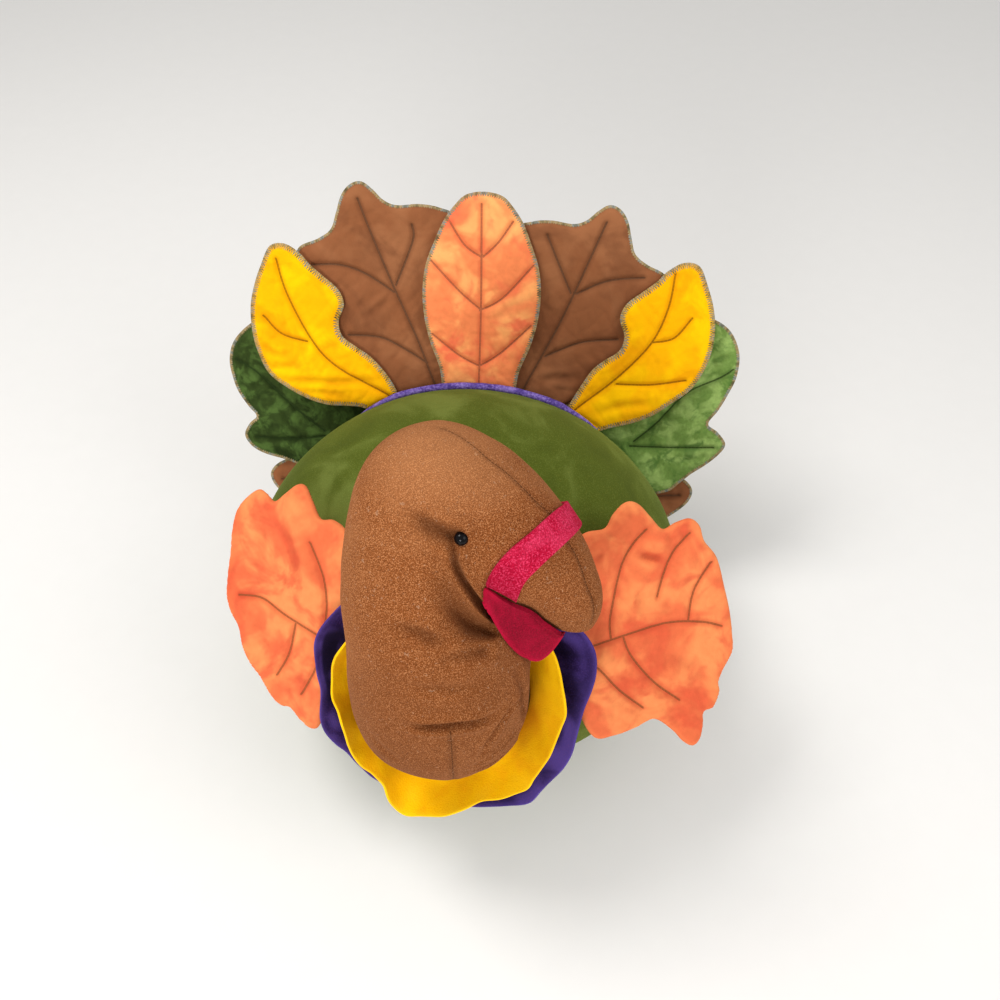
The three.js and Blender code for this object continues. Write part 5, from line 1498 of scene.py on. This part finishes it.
class TURKEY_OT_tail(bpy.types.Operator):
    """Make the nine quilted tail leaves and the purple welt in front of them"""

    bl_idname = "turkey.tail"
    bl_label = "Fan Tail"

    def execute(self, context):
        s = context.scene.turkey_sizes
        for seed, (node, kind, side, turn, share) in enumerate(TAIL_LEAVES):
            shares, veins, layer = LEAF_CUTS[kind]
            matrix = fan_matrix() @ Matrix.Translation((0, 0, layer * LEAF_SPACING))
            matrix = matrix @ Matrix.Rotation(math.radians(turn), 4, "Z")
            key = {"lower": "brown", "green": "green_left" if side > 0 else "green_right"}.get(kind, kind)
            pad = quilted_pad(node.replace("tail_leaf", "quilted_leaf"), key, OWN_SHARES.get(node, shares),
                              OWN_VEINS.get(node, veins),
                              LEAF_FOLDS.get(node, []), s.fan_height * share, side, matrix, True, seed * 3.7)
            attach(pad, "body")
            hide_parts(node)
        self.welt()
        return {"FINISHED"}

    def welt(self):
        path = welt_path()
        bm = bmesh.new()
        bmesh.ops.create_circle(bm, radius=1, segments=20)
        loop, edges = list(bm.verts), list(bm.edges)
        bmesh.ops.contextual_create(bm, geom=loop)
        flat = [Vector(v.co) for v in loop]
        for i, spot in enumerate(path):
            if i:
                made = bmesh.ops.extrude_edge_only(bm, edges=edges)["geom"]
                new = {g for g in made if isinstance(g, bmesh.types.BMVert)}
                loop = [next(e.other_vert(v) for e in v.link_edges if e.other_vert(v) in new) for v in loop]
                edges = [g for g in made if isinstance(g, bmesh.types.BMEdge)]
            along = (path[min(len(path) - 1, i + 1)] - path[max(0, i - 1)]).normalized()
            up = Vector((0, 0, 1)) - along * along.z
            up.normalize()
            beside = along.cross(up)
            reach = abs(i / 36 - 1) * WELT_REACH
            taper = 1 - 0.68 * min(1, max(0, (reach - math.radians(27)) / math.radians(14)))
            ends = math.sqrt(min(1, (min(i, len(path) - 1 - i) + 0.6) / 4))
            radius = WELT_RADIUS * (0.94 + 0.06 * soft_lumps(spot, 7 * MM, 2)) * taper * ends
            spot = spot - (spot - Vector((0, 0, sizes().widest_height))).normalized() * (WELT_RADIUS - radius)
            for vert, corner in zip(loop, flat):
                vert.co = spot + (beside * corner.x + up * corner.y) * radius
        bmesh.ops.contextual_create(bm, geom=loop)
        bmesh.ops.poke(bm, faces=[f for f in bm.faces if len(f.verts) > 4])
        bmesh.ops.recalc_face_normals(bm, faces=bm.faces)
        welt = finish_piece("purple_welt", bm, material("piping"))
        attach(welt, "body")
        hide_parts("tail_welt")


class TURKEY_OT_wings(bpy.types.Operator):
    """Make the two orange leaf wings"""

    bl_idname = "turkey.wings"
    bl_label = "Leaf Wings"

    def execute(self, context):
        s = context.scene.turkey_sizes
        for side, name, body, shares, veins in (
            (1, "wing_left", "left_wing", LEFT_WING_SHARES, LEFT_WING_VEINS),
            (-1, "wing_right", "right_wing", RIGHT_WING_SHARES, RIGHT_WING_VEINS),
        ):
            root = body_front(side * WING_ROOT_SIDE, WING_ROOT_HEIGHT)
            across = Vector((math.cos(WING_TURN), side * math.sin(WING_TURN), 0))
            out = Vector((side * math.sin(WING_TURN) * math.cos(WING_TILT),
                          -math.cos(WING_TURN) * math.cos(WING_TILT), math.sin(WING_TILT)))
            matrix = placed_frame(root + out * WING_STAND_OFF, across, out.cross(across))
            wing = quilted_pad("quilted_" + name, "wing", shares, veins, LEAF_FOLDS[name], s.wing_span, side,
                               matrix, False, 40 + 7 * side)
            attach(wing, body)
            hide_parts(name)
        return {"FINISHED"}


# ---------------------------------------------------------------- collars


def round_share(shares, part):
    count = len(shares)
    at = part * count
    k = math.floor(at)
    a, b, c, d = [shares[(k + i) % count] for i in (-1, 0, 1, 2)]
    return curve_between(a, b, c, d, at - k)


class TURKEY_OT_collars(bpy.types.Operator):
    """Make the yellow and purple wavy collars"""

    bl_idname = "turkey.collars"
    bl_label = "Wavy Collars"

    def execute(self, context):
        s = context.scene.turkey_sizes
        seat = 0.5 * MM + s.collar_thickness / 2
        self.collar("purple_collar", "collar_purple", "purple", "felt_purple", PURPLE_RIM_SHARES,
                    80 * MM, 4 * MM, 1.5 * MM, seat, (0.5, 0.9, 0.4), s)
        self.collar("yellow_collar", "collar_yellow", "collar_yellow", "felt_yellow", YELLOW_RIM_SHARES,
                    69 * MM, 14 * MM, 2.5 * MM, seat + s.collar_thickness + 0.6 * MM,
                    (0.16, 0.18, 0), s)
        return {"FINISHED"}

    def collar(self, name, node, key, slot, rim, reach, rise, wave, seat, shading, s):
        steps, stations = 400, 20
        root = neck_root()
        bm = bmesh.new()
        rim_layer = bm.verts.layers.float.new("rim")
        painted_shade, painted_light = bm.verts.layers.float.new("painted_shade"), bm.verts.layers.float.new("painted_light")
        # Amounts of painted shade near the neck, of painted shade and light on the folds, and of painted light on the
        # rim with painted shade inside the curled lobe
        inner, folds, edge = shading
        bmesh.ops.create_circle(bm, radius=1, segments=steps)
        loop, edges = list(bm.verts), list(bm.edges)
        angles = [math.atan2(v.co.x, v.co.y) for v in loop]
        for station in range(stations + 1):
            if station:
                made = bmesh.ops.extrude_edge_only(bm, edges=edges)["geom"]
                new = {g for g in made if isinstance(g, bmesh.types.BMVert)}
                loop = [next(e.other_vert(v) for e in v.link_edges if e.other_vert(v) in new) for v in loop]
                edges = [g for g in made if isinstance(g, bmesh.types.BMEdge)]
            part = station / stations
            for vert, angle in zip(loop, angles):
                near_front = min(1, max(0, (math.cos(angle) + 0.97) / 0.47))
                front = near_front * near_front * (3 - 2 * near_front)
                far = reach * round_share(rim, angle / (2 * math.pi) % 1)
                ripple = math.sin(COLLAR_WAVES * angle) + 0.5 * math.sin((COLLAR_WAVES - 3) * angle + 1)
                radius = COLLAR_ROOT + (far - COLLAR_ROOT) * part
                lying = seat - chest_drop(radius, angle)
                height = lying + front * part * (rise + wave * ripple - lying)
                place = root + CHEST_DOWN * radius * math.cos(angle) + Vector((radius * math.sin(angle), 0, 0))
                ridge = soft_lumps(Vector((math.cos(angle), math.sin(angle), part * 0.35)) * MM, 0.17 * MM, 6)
                fold = (1.1 * ridge + 0.4 * soft_lumps(place, 14 * MM, 1)) * MM * min(1, part * 1.6) * front
                vert.co = place + CHEST_OUT * (height + fold)
                vert[rim_layer] = part
                # Painted shade near the neck, in the fold valleys, inside the purple's curled lobe and in the yellow's
                # nook beside the neck; painted light on the fold ridges and on the purple's rim
                shade_streak = soft_lumps(Vector((math.cos(angle), math.sin(angle), part * 1.3)) * MM, 0.3 * MM, 15)
                lobe_shade = max(0, 1 - abs(math.degrees(angle) + 104) / 22) if edge else 0
                nook_shade = 0 if edge else max(0, 1 - abs(math.degrees(angle) - 78) / 42) * (1 - part) ** 1.2
                vert[painted_shade] = min(0.95, inner * (1 - part) ** 1.3 + folds * max(0, -ridge - shade_streak)
                                   + 1.4 * lobe_shade * (part < 0.86) + 1.1 * nook_shade)
                vert[painted_light] = min(0.8, (edge * max(0, (part - 0.7) / 0.3) ** 2 + folds * max(0, ridge + shade_streak))
                                   * (1 - 0.6 * lobe_shade))
        bmesh.ops.recalc_face_normals(bm, faces=bm.faces)
        piece = finish_piece(name, bm, material(key))
        thicken(piece, s.collar_thickness * 0.62, 0.22)
        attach(piece, "body")
        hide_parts(node)


# ---------------------------------------------------------------- stage


class TURKEY_OT_stage(bpy.types.Operator):
    """Make the pale floor, the soft lamps and the camera of the photograph"""

    bl_idname = "turkey.stage"
    bl_label = "Stage"

    def execute(self, context):
        scene = context.scene
        bm = bmesh.new()
        bmesh.ops.create_grid(bm, x_segments=2, y_segments=2, size=3)
        bmesh.ops.translate(bm, verts=bm.verts, vec=(0, 0, -0.0004))
        mesh = bpy.data.meshes.new("floor")
        bm.to_mesh(mesh)
        bm.free()
        floor = bpy.data.objects.new("floor", mesh)
        scene.collection.objects.link(floor)
        paper, w, shader = new_material("Pale Floor")
        grain = w.noise(w.node("ShaderNodeTexCoord").outputs["Object"], 60.0, 3.0)
        w.put(shader.inputs["Base Color"], w.mix(grain, (0.80, 0.795, 0.785, 1), (0.82, 0.815, 0.805, 1)))
        shader.inputs["Roughness"].default_value = 0.9
        mesh.materials.append(paper)

        world = bpy.data.worlds.new("Studio")
        scene.world = world
        world.use_nodes = True
        tree = world.node_tree
        tree.nodes.clear()
        w = Wiring(tree)
        room = w.node("ShaderNodeBackground")
        room.inputs["Color"].default_value = (1, 0.99, 0.97, 1)
        room.inputs["Strength"].default_value = 0.58
        seen = w.node("ShaderNodeBackground")
        seen.inputs["Color"].default_value = (0.9, 0.9, 0.9, 1)
        rays = w.node("ShaderNodeLightPath")
        either = w.node("ShaderNodeMixShader")
        w.put(either.inputs[0], rays.outputs["Is Camera Ray"])
        w.put(either.inputs[1], room.outputs[0])
        w.put(either.inputs[2], seen.outputs[0])
        out = w.node("ShaderNodeOutputWorld")
        w.put(out.inputs["Surface"], either.outputs[0])

        self.lamp("key_lamp", (-0.55, 0.05, 1.2), 0.5, 7.4, (1, 0.975, 0.94))
        self.lamp("window_lamp", (-0.25, -1.3, 0.6), 0.5, 9.6, (1, 0.985, 0.97))
        self.lamp("fill_lamp", (0.9, -0.4, 0.9), 0.8, 4.2, (1, 0.98, 0.96))

        data = bpy.data.cameras.new("photo_camera")
        camera = bpy.data.objects.new("photo_camera", data)
        scene.collection.objects.link(camera)
        scene.camera = camera
        data.sensor_width = 36
        pixels, focal, distance = 1000, 1035, 0.65
        data.lens = focal / pixels * 36
        data.clip_start, data.clip_end = 0.01, 20
        elevation, azimuth = math.radians(50), math.radians(4.5)
        back = Vector((math.sin(azimuth) * math.cos(elevation), -math.cos(azimuth) * math.cos(elevation),
                       math.sin(elevation)))
        right = Vector((math.cos(azimuth), math.sin(azimuth), 0))
        up = back.cross(right)
        place = Vector((0, 0, 0.088)) + back * distance
        place -= right * (466.5 - pixels / 2) / focal * distance
        place += up * (571 - pixels / 2) / focal * distance
        camera.matrix_world = placed_frame(place, right, up)

        scene.view_settings.view_transform = "Standard"
        return {"FINISHED"}

    def lamp(self, name, place, size, power, colour):
        data = bpy.data.lights.new(name, "AREA")
        data.shape = "DISK"
        data.size = size
        data.energy = power
        data.color = colour
        lamp = bpy.data.objects.new(name, data)
        bpy.context.scene.collection.objects.link(lamp)
        lamp.location = place
        aim = Vector((0, 0, 0.12)) - Vector(place)
        lamp.rotation_mode = "QUATERNION"
        lamp.rotation_quaternion = aim.to_track_quat("-Z", "Y")


class TURKEY_PT_panel(bpy.types.Panel):
    """Lists the turkey's pieces with their sizes and colours"""

    bl_label = "Turkey"
    bl_idname = "TURKEY_PT_panel"
    bl_space_type = "VIEW_3D"
    bl_region_type = "UI"
    bl_category = "Turkey"

    def draw(self, context):
        layout = self.layout
        for group in (context.scene.turkey_sizes, context.scene.turkey_colours):
            box = layout.box()
            for name in group.__annotations__:
                box.prop(group, name)
        for operator in OPERATORS:
            layout.operator(operator.bl_idname)


OPERATORS = (TURKEY_OT_stage, TURKEY_OT_body, TURKEY_OT_neck, TURKEY_OT_eyes, TURKEY_OT_trim, TURKEY_OT_tail,
             TURKEY_OT_wings, TURKEY_OT_collars)
CLASSES = (TurkeySizes, TurkeyColours, *OPERATORS, TURKEY_PT_panel)


def register():
    for cls in CLASSES:
        bpy.utils.register_class(cls)
    bpy.types.Scene.turkey_sizes = bpy.props.PointerProperty(type=TurkeySizes)
    bpy.types.Scene.turkey_colours = bpy.props.PointerProperty(type=TurkeyColours)


def unregister():
    del bpy.types.Scene.turkey_colours
    del bpy.types.Scene.turkey_sizes
    for cls in reversed(CLASSES):
        bpy.utils.unregister_class(cls)


def main():
    register()
    bpy.ops.turkey.stage()
    bpy.ops.turkey.body()
    bpy.ops.turkey.neck()
    bpy.ops.turkey.eyes()
    bpy.ops.turkey.trim()
    bpy.ops.turkey.tail()
    bpy.ops.turkey.wings()
    bpy.ops.turkey.collars()


if __name__ == "__main__":
    main()
